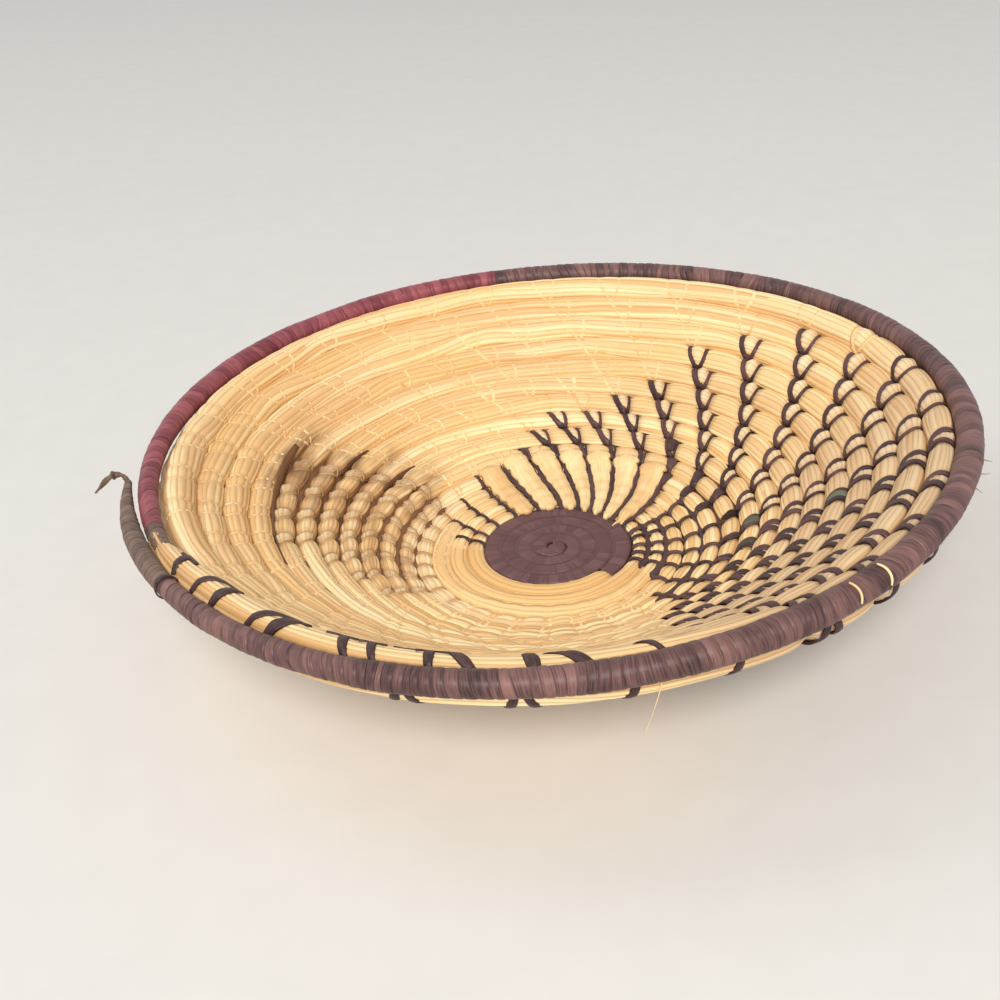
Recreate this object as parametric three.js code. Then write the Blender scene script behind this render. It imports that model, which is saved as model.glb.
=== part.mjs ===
import * as THREE from "three";

// A coiled basket bowl: one bundle of grass stalks wound outwards from the centre of the floor to the
// rim, wrapped with strip at both ends and bound turn to turn by columns of split stitches.
// Sizes are in millimetres. The bowl stands on z = 0, with the Z axis through the middle of its floor.

// Course of the coil, counted in turns from the centre. It runs clockwise seen from above.
const FIRST_PITCH = 5.8;
const RIM_RADIUS = 145;
const RIM_TURN = 20.2;
const TURN_OVER_X = 0.34;
const RIM_STEP = 7.2;
const RIM_BLEND_START = 19.75;
const RIM_BLEND_TURNS = 0.25;

// Height of the coil's centre line: a flat floor, then a wall that steepens towards the rim.
const FLOOR_RADIUS = 46;
const RIM_HEIGHT = 57.5;
const RIM_SINK = 1.2;
const WALL_CURVE = 1.53;
const WALL_OFFSET = 1.2;

// The bowl is hand-made and a little out of round. Each part is a mean, then the size and the place
// in degrees of waves that go once and three times round.
const ROUNDNESS = { mean: -0.5, once: 2.6, onceAt: 62, thrice: 1.1, thriceAt: 16 };
const ROW_DRIFT = { mean: 1.1, once: 1.3, onceAt: 125, thrice: 0, thriceAt: 0 };
const DRIFT_START_RADIUS = 46;
const DRIFT_FULL_RADIUS = 100;

// Thickness of the bundle across the wall, and the flat that the floor is pressed to.
const FLOOR_THICKNESS = 6.2;
const WALL_THICKNESS = 13;
const THICKENING_WIDTH = 45;
const BASE_FLAT = 0.5;
const FLAT_SHARE = 0.5;
const TURN_GAP = 0.5;

// The rim coil and its tail: the wrapped coil swells from its start and thins towards its tip.
const RIM_THICKNESS = 9.4;
const RIM_START_THICKNESS = 6.8;
const RIM_SWELL_END = 19.95;
const TAIL_THICKNESS = 7;
const TAIL_TIP_THICKNESS = 3;

// Where the wraps begin and end, in turns.
const CENTRE_WRAP_START = 1 / 6;
const CENTRE_WRAP_END = 4.48;
const GREY_WRAP_START = 19.775;
const RED_WRAP_START = 19.791;
const DARK_WRAP_START = 20.08;
const TAIL_WRAP_START = 20.75;
const TAIL_THINNING_START = 20.55;
const TAIL_TAPER_START = 20.785;
const COIL_END = 20.83;

// Wrapping strip.
const STRIP_THICKNESS = 0.5;
const FIT_GAP = 0.3;
const WRAP_OVERHANG = 1;
const NECK_LENGTH = 6;
const SHOULDER_LENGTH = 30;

// The tight start of the coil. Its tip lies over the axis: at two places ahead of the axis, how far it
// reaches across. The first turn passes round the tip and keeps this far off the axis. The bundle starts
// a little inside its wrap, in turns.
const START_TIP = [
  { ahead: -1.2, from: -1.4, to: 1.6 },
  { ahead: 0.4, from: -1.4, to: 2.6 },
];
const ROOM_BESIDE_TIP = 0.95;
const ROOM_ROUND_TIP = 2.2;
const ROOM_FULL_TURN = 0.45;
const START_OVERHANG = 0.08;

// Stitches: columns that lean as they climb, one V on each turn, its point towards the centre.
const COLUMN_COUNT = 31;
const COLUMN_ANGLE = 6;
const COLUMN_ANGLE_RADIUS = 134;
const COLUMN_LEAN = 0.85;
const COLUMN_STRAY_AT = [-60, 12, 31, 45, 69, 90, 210, 300];
const COLUMN_STRAY = [0, 0, 2, 4.8, 8, 8.5, -1, 0];
const KNEE_RADIUS = 68;
const KNEE_LEAN_AT = [-27, -15, -2, 12, 25, 40, 90, 110, 135, 165, 200];
const KNEE_LEAN = [0, 0.1, 0.2, 0.27, 0.4, 0.42, 0.42, 0.1, -0.3, -0.3, 0];
const STRAND_WIDTH = 1.5;
const STRAND_THICKNESS = 0.7;
const STRAND_PASS = 1.4;
const V_SPREAD_SHARE = 0.31;
const V_ROOT_SHARE = 0.14;
const OUTSIDE_START_RADIUS = 62;
const OUTSIDE_CLEARANCE = 0.7;

// The loose end of strip at the tip of the tail.
const LOOSE_END_DIAMETER = 1.2;
const LOOSE_END_LENGTH = 17;
const LOOSE_END_HOOK = 5;

// Facets of the coil.
const STEPS_PER_TURN = 24;
const CENTRE_STEPS_PER_TURN = 12;
const CENTRE_STEPS_END = 2.5;

const STRAW = { color: 0xe3c088, roughness: 0.55, metalness: 0 };
const DARK_STRIP = { color: 0x6b5155, roughness: 0.5, metalness: 0 };
const GREY_STRIP = { color: 0x877468, roughness: 0.55, metalness: 0 };
const RED_STRIP = { color: 0x8a4650, roughness: 0.5, metalness: 0 };
const BROWN_STITCH = { color: 0x8f6238, roughness: 0.6, metalness: 0 };

const PITCH_GROWTH = (2 * (RIM_RADIUS - FIRST_PITCH * RIM_TURN)) / RIM_TURN ** 2;
const FLOOR_MIDDLE = FLOOR_THICKNESS / 2 - BASE_FLAT;
const WRAP_INSET = STRIP_THICKNESS + FIT_GAP;

const { clamp, lerp, smoothstep, degToRad, radToDeg } = THREE.MathUtils;

// The coil's path

function spiralRadius(turn) {
  return FIRST_PITCH * turn + (PITCH_GROWTH / 2) * turn ** 2;
}

function rimShare(turn) {
  return smoothstep(turn, RIM_BLEND_START, RIM_BLEND_START + RIM_BLEND_TURNS);
}

function coilAngle(turn) {
  return 2 * Math.PI * (TURN_OVER_X - turn);
}

function wave(shape, angle) {
  const once = shape.once * Math.cos(angle - degToRad(shape.onceAt));
  const thrice = shape.thrice * Math.cos(3 * (angle - degToRad(shape.thriceAt)));
  return shape.mean + once + thrice;
}

// How much of the wall's drift and offset a radius has: none on the floor, all on the upper wall.
function driftShare(radius) {
  return smoothstep(radius, DRIFT_START_RADIUS, DRIFT_FULL_RADIUS);
}

function rowDrift(turn) {
  return driftShare(spiralRadius(turn)) * wave(ROW_DRIFT, coilAngle(turn));
}

function bareRadius(turn) {
  const spiral = spiralRadius(turn);
  return spiral + rowDrift(turn) + driftShare(spiral) * WALL_OFFSET * Math.sin(wallSlope(spiral));
}

function coilRadius(turn) {
  const rim = Math.max(RIM_RADIUS, bareRadius(turn - 1) + RIM_STEP);
  const round = driftShare(spiralRadius(turn)) * wave(ROUNDNESS, coilAngle(turn));
  return round + lerp(bareRadius(turn), rim, rimShare(turn));
}

function wallShare(radius) {
  return Math.max(0, (radius - FLOOR_RADIUS) / (RIM_RADIUS - FLOOR_RADIUS));
}

function wallRise() {
  return RIM_HEIGHT + RIM_SINK - FLOOR_MIDDLE;
}

function coilHeight(turn) {
  const spiral = spiralRadius(turn);
  const slope = wallSlope(spiral);
  const wall = FLOOR_MIDDLE + wallRise() * wallShare(spiral) ** WALL_CURVE;
  const drift = rowDrift(turn) * Math.tan(slope) - driftShare(spiral) * WALL_OFFSET * Math.cos(slope);
  return lerp(wall + drift, RIM_HEIGHT, rimShare(turn));
}

function wallSlope(radius) {
  const share = wallShare(radius);
  const run = RIM_RADIUS - FLOOR_RADIUS;
  return share > 0 ? Math.atan((wallRise() * WALL_CURVE * share ** (WALL_CURVE - 1)) / run) : 0;
}

function coilPoint(turn) {
  const angle = coilAngle(turn);
  const radius = coilRadius(turn);
  return new THREE.Vector3(radius * Math.cos(angle), radius * Math.sin(angle), coilHeight(turn));
}

// Directions across the coil: up the wall, and out of its inner face.
function coilDirections(turn) {
  const angle = coilAngle(turn);
  const slope = wallSlope(spiralRadius(turn));
  const outward = new THREE.Vector3(Math.cos(angle), Math.sin(angle), 0);
  const up = new THREE.Vector3(0, 0, 1);
  const upWall = outward.clone().multiplyScalar(Math.cos(slope)).addScaledVector(up, Math.sin(slope));
  const inward = outward.clone().multiplyScalar(-Math.sin(slope)).addScaledVector(up, Math.cos(slope));
  return { upWall, inward };
}

function turnDistance(turn) {
  return coilPoint(turn).distanceTo(coilPoint(turn + 1));
}

// The coil's section

function rimHalfThickness(turn) {
  const swell = smoothstep(turn, GREY_WRAP_START, RIM_SWELL_END);
  const thinning = smoothstep(turn, TAIL_THINNING_START, TAIL_TAPER_START);
  const taper = clamp((turn - TAIL_TAPER_START) / (COIL_END - TAIL_TAPER_START), 0, 1);
  const swollen = lerp(RIM_START_THICKNESS, RIM_THICKNESS, swell);
  return lerp(lerp(swollen, TAIL_THICKNESS, thinning), TAIL_TIP_THICKNESS, taper) / 2;
}

// How far the bundle reaches from its path down and up the wall. It leaves the gap between turns, and
// under the rim the strands' way.
function reaches(turn) {
  const tipRoom = lerp(ROOM_BESIDE_TIP, ROOM_ROUND_TIP, smoothstep(turn, 0, ROOM_FULL_TURN));
  const axisRoom = coilRadius(turn) - tipRoom;
  const inner = Math.min(axisRoom, (turnDistance(Math.max(turn - 1, 0)) - TURN_GAP) / 2);
  const underRim = smoothstep(turn + 1, GREY_WRAP_START, RIM_SWELL_END);
  const room = turnDistance(turn) - rimHalfThickness(turn + 1) - STRAND_PASS;
  const outer = lerp((turnDistance(turn) - TURN_GAP) / 2, room, underRim);
  return { inner, outer };
}

function halfHeight(turn) {
  const share = smoothstep(coilRadius(turn), FLOOR_RADIUS, FLOOR_RADIUS + THICKENING_WIDTH);
  return lerp(FLOOR_THICKNESS, WALL_THICKNESS, share) / 2;
}

function turnsFor(length, radius) {
  return length / (2 * Math.PI * radius);
}

const SHOULDER_START = GREY_WRAP_START - turnsFor(SHOULDER_LENGTH, RIM_RADIUS);
const RIM_NECK_START = GREY_WRAP_START - turnsFor(NECK_LENGTH, RIM_RADIUS);
const CENTRE_NECK_END = CENTRE_WRAP_END + turnsFor(NECK_LENGTH, spiralRadius(CENTRE_WRAP_END));
const BUNDLE_START = CENTRE_WRAP_START + START_OVERHANG;
const BUNDLE_END = COIL_END - turnsFor(WRAP_OVERHANG, RIM_RADIUS);

// The outermost half width and half height: straw where the coil is bare, strip where it is wrapped.
// The middle is how far up the wall the section's own middle lies from the coil's path.
function outerHalves(turn) {
  const round = rimHalfThickness(turn);
  const share = clamp((turn - SHOULDER_START) / (GREY_WRAP_START - SHOULDER_START), 0, 1);
  if (share >= 1) return { width: round, height: round, middle: 0 };
  const { inner, outer } = reaches(turn);
  return {
    width: lerp((inner + outer) / 2, round, share),
    height: lerp(halfHeight(turn), round, share),
    middle: lerp((outer - inner) / 2, 0, share),
  };
}

// How far the bundle's surface lies under the outermost one: nothing where it is bare.
function bundleInset(turn) {
  const afterCentre = (CENTRE_NECK_END - turn) / (CENTRE_NECK_END - CENTRE_WRAP_END);
  const beforeRim = (turn - RIM_NECK_START) / (GREY_WRAP_START - RIM_NECK_START);
  return WRAP_INSET * clamp(Math.max(afterCentre, beforeRim), 0, 1);
}

function sectionRing(turn, inset) {
  const { width, height, middle } = outerHalves(turn);
  const directions = coilDirections(turn);
  const centre = coilPoint(turn).addScaledVector(directions.upWall, middle);
  return ringAt(centre, directions, width - inset, height - inset, inset);
}

// Sections of the tip over the axis.
function tipRings(inset) {
  const directions = coilDirections(0);
  return START_TIP.map(({ ahead, from, to }) => {
    const centre = coilPoint(0).addScaledVector(alongCoil(0), -ahead);
    centre.addScaledVector(directions.upWall, (from + to) / 2);
    return ringAt(centre, directions, (to - from) / 2 - inset, halfHeight(0) - inset, inset);
  });
}

// Six corners: a point at each edge and a flat on the inner and the outer face, kept off the table.
function ringAt(centre, { upWall, inward }, a, b, inset) {
  const corners = [
    [a, 0],
    [a * FLAT_SHARE, b],
    [-a * FLAT_SHARE, b],
    [-a, 0],
    [-a * FLAT_SHARE, -b],
    [a * FLAT_SHARE, -b],
  ];
  return corners.map(([across, out]) => {
    const corner = centre.clone().addScaledVector(upWall, across).addScaledVector(inward, out);
    corner.z = Math.max(corner.z, inset);
    return corner;
  });
}

// Stations along the coil: even steps, and one at each place where its section changes.
function stationsBetween(from, to) {
  const marks = [
    BUNDLE_START,
    CENTRE_WRAP_END,
    CENTRE_NECK_END,
    SHOULDER_START,
    RIM_NECK_START,
    GREY_WRAP_START,
    RED_WRAP_START,
    RIM_SWELL_END,
    DARK_WRAP_START,
    TAIL_TAPER_START,
    TAIL_WRAP_START,
    BUNDLE_END,
  ];
  const fixed = [from, ...marks.filter((mark) => mark > from && mark < to), to];
  const stations = [...fixed];
  const shortest = 0.2 / STEPS_PER_TURN;
  for (let step = Math.ceil(from * STEPS_PER_TURN); step <= to * STEPS_PER_TURN; step++) {
    const turn = step / STEPS_PER_TURN;
    const even = step % (STEPS_PER_TURN / CENTRE_STEPS_PER_TURN) === 0;
    const wanted = turn > CENTRE_STEPS_END || even;
    if (wanted && fixed.every((mark) => Math.abs(mark - turn) > shortest)) stations.push(turn);
  }
  return stations.sort((a, b) => a - b);
}

// Meshes

function geometryOf(points, triangles) {
  const geometry = new THREE.BufferGeometry();
  geometry.setAttribute(
    "position",
    new THREE.Float32BufferAttribute(points.flatMap((p) => p.toArray()), 3),
  );
  geometry.setIndex(triangles.flat());
  geometry.computeVertexNormals();
  return geometry;
}

// Triangles of the skin between rings of equal size, whose first vertices are listed in order.
function skinTriangles(ringStarts, sides, inside) {
  const triangles = [];
  for (let i = 1; i < ringStarts.length; i++) {
    for (let j = 0; j < sides; j++) {
      const k = (j + 1) % sides;
      const [a, b] = [ringStarts[i - 1] + j, ringStarts[i - 1] + k];
      const [c, d] = [ringStarts[i] + k, ringStarts[i] + j];
      if (inside) triangles.push([a, c, b], [a, d, c]);
      else triangles.push([a, b, c], [a, c, d]);
    }
  }
  return triangles;
}

function fanTriangles(start, sides, reversed) {
  const triangles = [];
  for (let j = 1; j < sides - 1; j++) {
    if (reversed) triangles.push([start, start + j + 1, start + j]);
    else triangles.push([start, start + j, start + j + 1]);
  }
  return triangles;
}

function solidTube(rings) {
  const sides = rings[0].length;
  const starts = rings.map((ring, i) => i * sides);
  const last = starts[starts.length - 1];
  return geometryOf(rings.flat(), [
    ...skinTriangles(starts, sides, false),
    ...fanTriangles(0, sides, true),
    ...fanTriangles(last, sides, false),
  ]);
}

function sleeve(outerRings, innerRings) {
  const sides = outerRings[0].length;
  const count = outerRings.length;
  const outer = outerRings.map((ring, i) => i * sides);
  const inner = innerRings.map((ring, i) => (count + i) * sides);
  const triangles = [...skinTriangles(outer, sides, false), ...skinTriangles(inner, sides, true)];
  for (let j = 0; j < sides; j++) {
    const k = (j + 1) % sides;
    const [firstOuter, firstInner] = [outer[0], inner[0]];
    const [lastOuter, lastInner] = [outer[count - 1], inner[count - 1]];
    triangles.push([firstOuter + j, firstInner + j, firstInner + k]);
    triangles.push([firstOuter + j, firstInner + k, firstOuter + k]);
    triangles.push([lastOuter + j, lastInner + k, lastInner + j]);
    triangles.push([lastOuter + j, lastOuter + k, lastInner + k]);
  }
  return geometryOf([...outerRings.flat(), ...innerRings.flat()], triangles);
}

function named(name, geometry, look) {
  const mesh = new THREE.Mesh(geometry, new THREE.MeshStandardMaterial(look));
  mesh.name = name;
  return mesh;
}

// The bundle of stalks, one unbroken tube from the centre to the tail

const bundleStations = stationsBetween(BUNDLE_START, BUNDLE_END);

function foundationCoil() {
  const rings = bundleStations.map((turn) => sectionRing(turn, bundleInset(turn)));
  return named("foundation_coil", solidTube(rings), STRAW);
}

// Least distance between corners of the coil's outermost surface that are at least half a turn apart.
function leastGap(stations) {
  const tip = tipRings(0);
  const turns = [...tip.map(() => 0), ...stations];
  const rings = [...tip, ...stations.map((turn) => sectionRing(turn, 0))];
  let least = Infinity;
  for (let i = 0; i < turns.length; i++) {
    for (let j = i + 1; j < turns.length; j++) {
      const apart = turns[j] - turns[i];
      if (apart < 0.5 || apart > 1.5) continue;
      for (const p of rings[i]) {
        for (const q of rings[j]) least = Math.min(least, p.distanceTo(q));
      }
    }
  }
  return least;
}

// Wraps of strip round the bundle

function wrap(name, from, to, look) {
  const stations = stationsBetween(from, to);
  const rings = (inset) => stations.map((turn) => sectionRing(turn, inset));
  return named(name, sleeve(rings(0), rings(STRIP_THICKNESS)), look);
}

// The centre's wrap covers the coil's tip too.
function centreWrap() {
  const stations = stationsBetween(CENTRE_WRAP_START, CENTRE_WRAP_END);
  const rings = (inset) => [...tipRings(inset), ...stations.map((turn) => sectionRing(turn, inset))];
  return named("centre_wrap", sleeve(rings(0), rings(STRIP_THICKNESS)), DARK_STRIP);
}

function wraps() {
  const joint = turnsFor(FIT_GAP, RIM_RADIUS);
  return [
    centreWrap(),
    wrap("rim_wrap_grey", GREY_WRAP_START, RED_WRAP_START - joint, GREY_STRIP),
    wrap("rim_wrap_red", RED_WRAP_START, DARK_WRAP_START - joint, RED_STRIP),
    wrap("rim_wrap_dark", DARK_WRAP_START, TAIL_WRAP_START - joint, DARK_STRIP),
    wrap("tail_wrap_grey", TAIL_WRAP_START, COIL_END, GREY_STRIP),
  ];
}

// Stitch columns

// Angle of a column where it crosses a radius. On the wall it leans more and more round as it climbs.
// From the knee down to the centre each column has a lean of its own.
function columnAngle(column, radius) {
  const first = COLUMN_ANGLE + (360 / COLUMN_COUNT) * column;
  const place = first < COLUMN_STRAY_AT.at(-1) ? first : first - 360;
  const stray = between(place, COLUMN_STRAY_AT, COLUMN_STRAY);
  const knee = degToRad(place + stray) + COLUMN_LEAN * Math.log(KNEE_RADIUS / COLUMN_ANGLE_RADIUS);
  const lean = between(radToDeg(knee), KNEE_LEAN_AT, KNEE_LEAN);
  const above = COLUMN_LEAN * Math.log(Math.max(radius, KNEE_RADIUS) / COLUMN_ANGLE_RADIUS);
  const inside = lean * Math.log(Math.min(radius, KNEE_RADIUS) / KNEE_RADIUS);
  return degToRad(first + stray) + above + inside;
}

// Value at a place between listed ones, or the nearest one outside them.
function between(place, places, values) {
  const held = clamp(place, places[0], places.at(-1));
  const i = Math.max(1, places.findIndex((known) => known >= held));
  return lerp(values[i - 1], values[i], (held - places[i - 1]) / (places[i] - places[i - 1]));
}

// The turn at which the coil passes under a column for the given time round.
function crossingTurn(column, round) {
  let turn = round;
  for (let i = 0; i < 30; i++) {
    const angle = columnAngle(column, spiralRadius(Math.max(turn, 1)));
    turn = round + TURN_OVER_X - angle / (2 * Math.PI);
  }
  return turn;
}

// Point on the bundle's faceted inner or outer face, a clearance off it, between two stations.
function facePoint(turn, side, clearance, shift) {
  const i = clamp(bundleStations.findIndex((station) => station > turn), 1, bundleStations.length - 1);
  const [from, to] = [bundleStations[i - 1], bundleStations[i]];
  const ends = [from, to].map((station) => {
    const { upWall, inward } = coilDirections(station);
    const halves = outerHalves(station);
    return coilPoint(station)
      .addScaledVector(upWall, halves.middle + halves.width * shift)
      .addScaledVector(inward, side * (halves.height + clearance));
  });
  return ends[0].lerp(ends[1], (turn - from) / (to - from));
}

// Point over the seam outside a turn, level with the faces of both turns beside it.
function seamPoint(turn, side, clearance) {
  return facePoint(turn, side, clearance, 0).lerp(facePoint(turn + 1, side, clearance, 0), 0.5);
}

function alongCoil(turn) {
  const angle = coilAngle(turn);
  return new THREE.Vector3(-Math.sin(angle), Math.cos(angle), 0);
}

// A strand's cross section: two corners on the straw and one on top.
function strandRing(point, along, out) {
  return [
    point.clone().addScaledVector(along, STRAND_WIDTH / 2),
    point.clone().addScaledVector(along, -STRAND_WIDTH / 2),
    point.clone().addScaledVector(out, STRAND_THICKNESS),
  ];
}

function stitchColumn(column) {
  const crossings = [];
  for (let round = 1; round <= RIM_TURN + 2; round++) {
    const turn = crossingTurn(column, round);
    if (turn > CENTRE_NECK_END && turn < SHOULDER_START) crossings.push(turn);
  }
  const rings = [];
  const forks = [];
  const spread = V_SPREAD_SHARE / COLUMN_COUNT;
  const top = crossings.length - 1;

  // Up the inner face: a ring at the V's point and one just above it, between which its left leg roots.
  crossings.forEach((turn, i) => {
    const { inward } = coilDirections(turn);
    const along = alongCoil(turn);
    const start = i === 0 ? facePoint(turn, 1, FIT_GAP, -1) : seamPoint(crossings[i - 1], 1, FIT_GAP);
    const end = i === top ? facePoint(turn, 1, FIT_GAP, 1) : seamPoint(turn, 1, FIT_GAP);
    const root = start.clone().lerp(end, V_ROOT_SHARE);
    const tip = end.clone().lerp(start, V_ROOT_SHARE);
    tip.add(facePoint(turn + spread, 1, FIT_GAP, 0)).sub(facePoint(turn, 1, FIT_GAP, 0));
    tip.addScaledVector(inward, STRAND_THICKNESS / 2);
    forks.push({ ring: rings.length, tip });
    rings.push(strandRing(start, along, inward), strandRing(root, along, inward));
  });

  // Over the edge of the last bare turn, under the rim coil.
  const last = crossings[top];
  const { upWall, inward } = coilDirections(last);
  const along = alongCoil(last);
  const halves = outerHalves(last);
  const edge = facePoint(last, 0, 0, 1).addScaledVector(upWall, FIT_GAP);
  const corner = halves.width * (1 - FLAT_SHARE);
  const brow = facePoint(last, 1, FIT_GAP, 1).addScaledVector(upWall, -corner);
  const heel = facePoint(last, -1, OUTSIDE_CLEARANCE, 1).addScaledVector(upWall, -corner);
  const halfway = (a, b) => a.clone().add(b).normalize();
  rings.push(strandRing(brow, along, halfway(inward, upWall)));
  rings.push(strandRing(edge, along, upWall));
  rings.push(strandRing(heel, along, halfway(upWall, inward.clone().negate())));

  // Down the outer face to the foot of the wall.
  for (let i = top - 1; i >= 0 && coilRadius(crossings[i]) > OUTSIDE_START_RADIUS; i--) {
    const out = coilDirections(crossings[i]).inward.negate();
    const point = facePoint(crossings[i], -1, OUTSIDE_CLEARANCE, 0);
    rings.push(strandRing(point, alongCoil(crossings[i]), out));
  }
  return named(
    `stitch_column_${String(column + 1).padStart(2, "0")}`,
    forkedStrand(rings, forks),
    columnLook(column),
  );
}

// A tube of three sides whose left side is drawn out to a point after each fork's ring.
function forkedStrand(rings, forks) {
  const points = rings.flat();
  const starts = rings.map((ring, i) => i * 3);
  const forkRings = new Set(forks.map((fork) => fork.ring));
  const triangles = [
    ...fanTriangles(0, 3, false),
    ...fanTriangles(starts[starts.length - 1], 3, true),
  ];
  for (let i = 1; i < rings.length; i++) {
    const skin = skinTriangles([starts[i - 1], starts[i]], 3, true);
    triangles.push(...(forkRings.has(i - 1) ? skin.filter((t, side) => side < 2 || side > 3) : skin));
  }
  for (const { ring, tip } of forks) {
    const start = starts[ring];
    const tipIndex = points.length;
    points.push(tip);
    const loop = [start + 1, start + 4, start + 5, start + 2];
    loop.forEach((corner, i) => triangles.push([corner, tipIndex, loop[(i + 1) % 4]].reverse()));
  }
  return geometryOf(points, triangles);
}

// Dark strands bind the right-hand side, brown ones a patch on the left and straw ones the rest.
function columnLook(column) {
  const degrees = (360 / COLUMN_COUNT) * column;
  if (degrees < 60 || degrees > 290) return DARK_STRIP;
  if (degrees > 150 && degrees < 195) return BROWN_STITCH;
  return STRAW;
}

// The loose end of strip: it leaves the tail's tip, bends outwards and hooks back beside the tail.
function looseEnd() {
  const tip = coilPoint(COIL_END);
  const ahead = alongCoil(COIL_END).negate();
  const outward = coilDirections(COIL_END).upWall.setZ(0).normalize();
  const up = new THREE.Vector3(0, 0, 1);
  const at = (forward, out, rise) =>
    tip
      .clone()
      .addScaledVector(ahead, FIT_GAP + forward * LOOSE_END_LENGTH)
      .addScaledVector(outward, out * LOOSE_END_HOOK)
      .addScaledVector(up, rise * LOOSE_END_HOOK);
  const course = [at(0, 0, 0), at(0.12, 0.5, 0.4), at(0.08, 1.3, 0.4), at(-0.3, 2.2, 0)];
  const path = new THREE.CatmullRomCurve3(course);
  const section = new THREE.Shape();
  section.absarc(0, 0, LOOSE_END_DIAMETER / 2, 0, 2 * Math.PI);
  const geometry = new THREE.ExtrudeGeometry(section, { steps: 6, curveSegments: 3, extrudePath: path });
  return named("tail_loose_end", geometry, GREY_STRIP);
}

const bowl = new THREE.Group();
bowl.name = "coiled_basket_bowl";
bowl.add(foundationCoil(), ...wraps(), looseEnd());
for (let column = 0; column < COLUMN_COUNT; column++) bowl.add(stitchColumn(column));

const wholeCoil = stationsBetween(CENTRE_WRAP_START, COIL_END);
console.log(`least gap of the coil to itself: ${leastGap(wholeCoil).toFixed(2)} mm`);

export default bowl;
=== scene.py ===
import math

import bpy
import numpy as np
from mathutils import Matrix, Vector


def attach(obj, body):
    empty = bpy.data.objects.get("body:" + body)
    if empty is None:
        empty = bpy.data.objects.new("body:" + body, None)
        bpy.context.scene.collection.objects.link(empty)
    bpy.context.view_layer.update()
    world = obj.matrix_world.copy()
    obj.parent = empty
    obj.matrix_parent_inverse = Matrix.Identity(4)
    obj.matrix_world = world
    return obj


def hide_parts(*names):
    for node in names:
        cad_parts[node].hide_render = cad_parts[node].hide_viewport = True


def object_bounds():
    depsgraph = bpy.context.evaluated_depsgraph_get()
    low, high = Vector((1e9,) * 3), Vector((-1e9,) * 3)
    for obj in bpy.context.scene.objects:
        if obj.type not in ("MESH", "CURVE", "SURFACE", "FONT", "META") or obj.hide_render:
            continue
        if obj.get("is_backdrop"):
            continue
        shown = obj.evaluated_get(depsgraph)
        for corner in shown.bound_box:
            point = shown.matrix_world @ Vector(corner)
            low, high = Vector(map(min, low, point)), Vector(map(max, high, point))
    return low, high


# The looks of a coiled basket bowl: a bundle of grass stalks wound clockwise from the centre to the
# rim, bound turn to turn by columns of split stitches and wrapped with strip at its two ends.
# Sizes are in millimetres up to the making of a mesh, which is in metres.

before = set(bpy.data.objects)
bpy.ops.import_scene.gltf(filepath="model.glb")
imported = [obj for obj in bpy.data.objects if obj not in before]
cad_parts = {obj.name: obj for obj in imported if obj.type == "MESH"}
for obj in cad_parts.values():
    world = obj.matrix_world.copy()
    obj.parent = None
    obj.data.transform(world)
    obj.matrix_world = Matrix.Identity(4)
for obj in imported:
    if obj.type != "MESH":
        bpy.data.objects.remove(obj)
cad_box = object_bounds()

MM = 0.001

# Course of the coil, counted in turns from the centre
FIRST_PITCH = 5.8
RIM_RADIUS = 145.0
RIM_TURN = 20.2
TURN_OVER_X = 0.34
RIM_STEP = 7.2
RIM_BLEND_START = 19.75
RIM_BLEND_TURNS = 0.25
PITCH_GROWTH = 2 * (RIM_RADIUS - FIRST_PITCH * RIM_TURN) / RIM_TURN**2

# Height of the coil's centre line, and its thickness
FLOOR_RADIUS = 46.0
FLOOR_MIDDLE = 2.6
RIM_HEIGHT = 57.5
WALL_RISE = 56.1
WALL_CURVE = 1.53
WALL_OFFSET = 1.2
FLOOR_THICKNESS = 6.2
WALL_THICKNESS = 13.0
THICKENING_WIDTH = 45.0

# Waves of the hand-made form: a mean, then sizes and places in degrees of waves once and thrice round
ROUNDNESS = (-0.5, 2.6, 62, 1.1, 16)
ROW_DRIFT = (1.1, 1.3, 125, 0.0, 0)
DRIFT_START_RADIUS = 46.0
DRIFT_FULL_RADIUS = 100.0

# The rim coil and its tail
LAST_FREE_TURN = 18.9
LAST_TURN_UNDER_RIM = 19.8
RIM_THICKNESS = 9.4
RIM_START_THICKNESS = 6.8
RIM_SWELL_END = 19.95
TAIL_THICKNESS = 7.0
TAIL_TIP_THICKNESS = 3.0
TAIL_THINNING_START = 20.55
TAIL_TAPER_START = 20.785
TAIL_TAPER_CURVE = 1.6

# How far a turn stays off the axis, and how deep it sits in its neighbours
AXIS_CLEARANCE = 0.3
TURN_OVERLAP = 0.08

# Where the wraps begin and end, in turns
CENTRE_WRAP_START = 0.1
CENTRE_WRAP_END = 4.48
SHOULDER_START = 19.742
GREY_WRAP_START = 19.775
RED_WRAP_START = 19.791
DARK_WRAP_START = 20.08
TAIL_WRAP_START = 20.75
COIL_END = 20.83

# Stalks of the bundle
STALKS = 18
STALK_CORNERS = 4
STALK_WIDTH = 1.95
STALK_CROWN = 0.4
BUNDLE_START = 4.42
BUNDLE_END = 19.783
WRAP_INSET = 0.9

# How flat the sides of the coil's section are pressed where turns touch: 1 is a plain oval
ROUND_PRESS = 1.0
BARE_PRESS = 1.17
FILLED_PRESS = 1.9
CENTRE_PRESS = 3.4

# The power that bends the section's outline: 1 is an oval, and less than 1 fills its corners
BUNDLE_CURVE = 0.88
WRAPPED_CURVE = 1.0

# The last bare row lies further out under the rim at the front: angles from 180 to 540, and how far
ROW_ONE_SHIFT_AT = [190, 235, 285, 300, 325, 350, 380]
ROW_ONE_SHIFT = [0, 0.6, 1.0, 2.0, 2.4, 1.2, 0]
ROW_ONE_SHIFT_START = (18.72, 18.8)
ROW_ONE_SHIFT_END = (19.66, 19.74)

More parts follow.
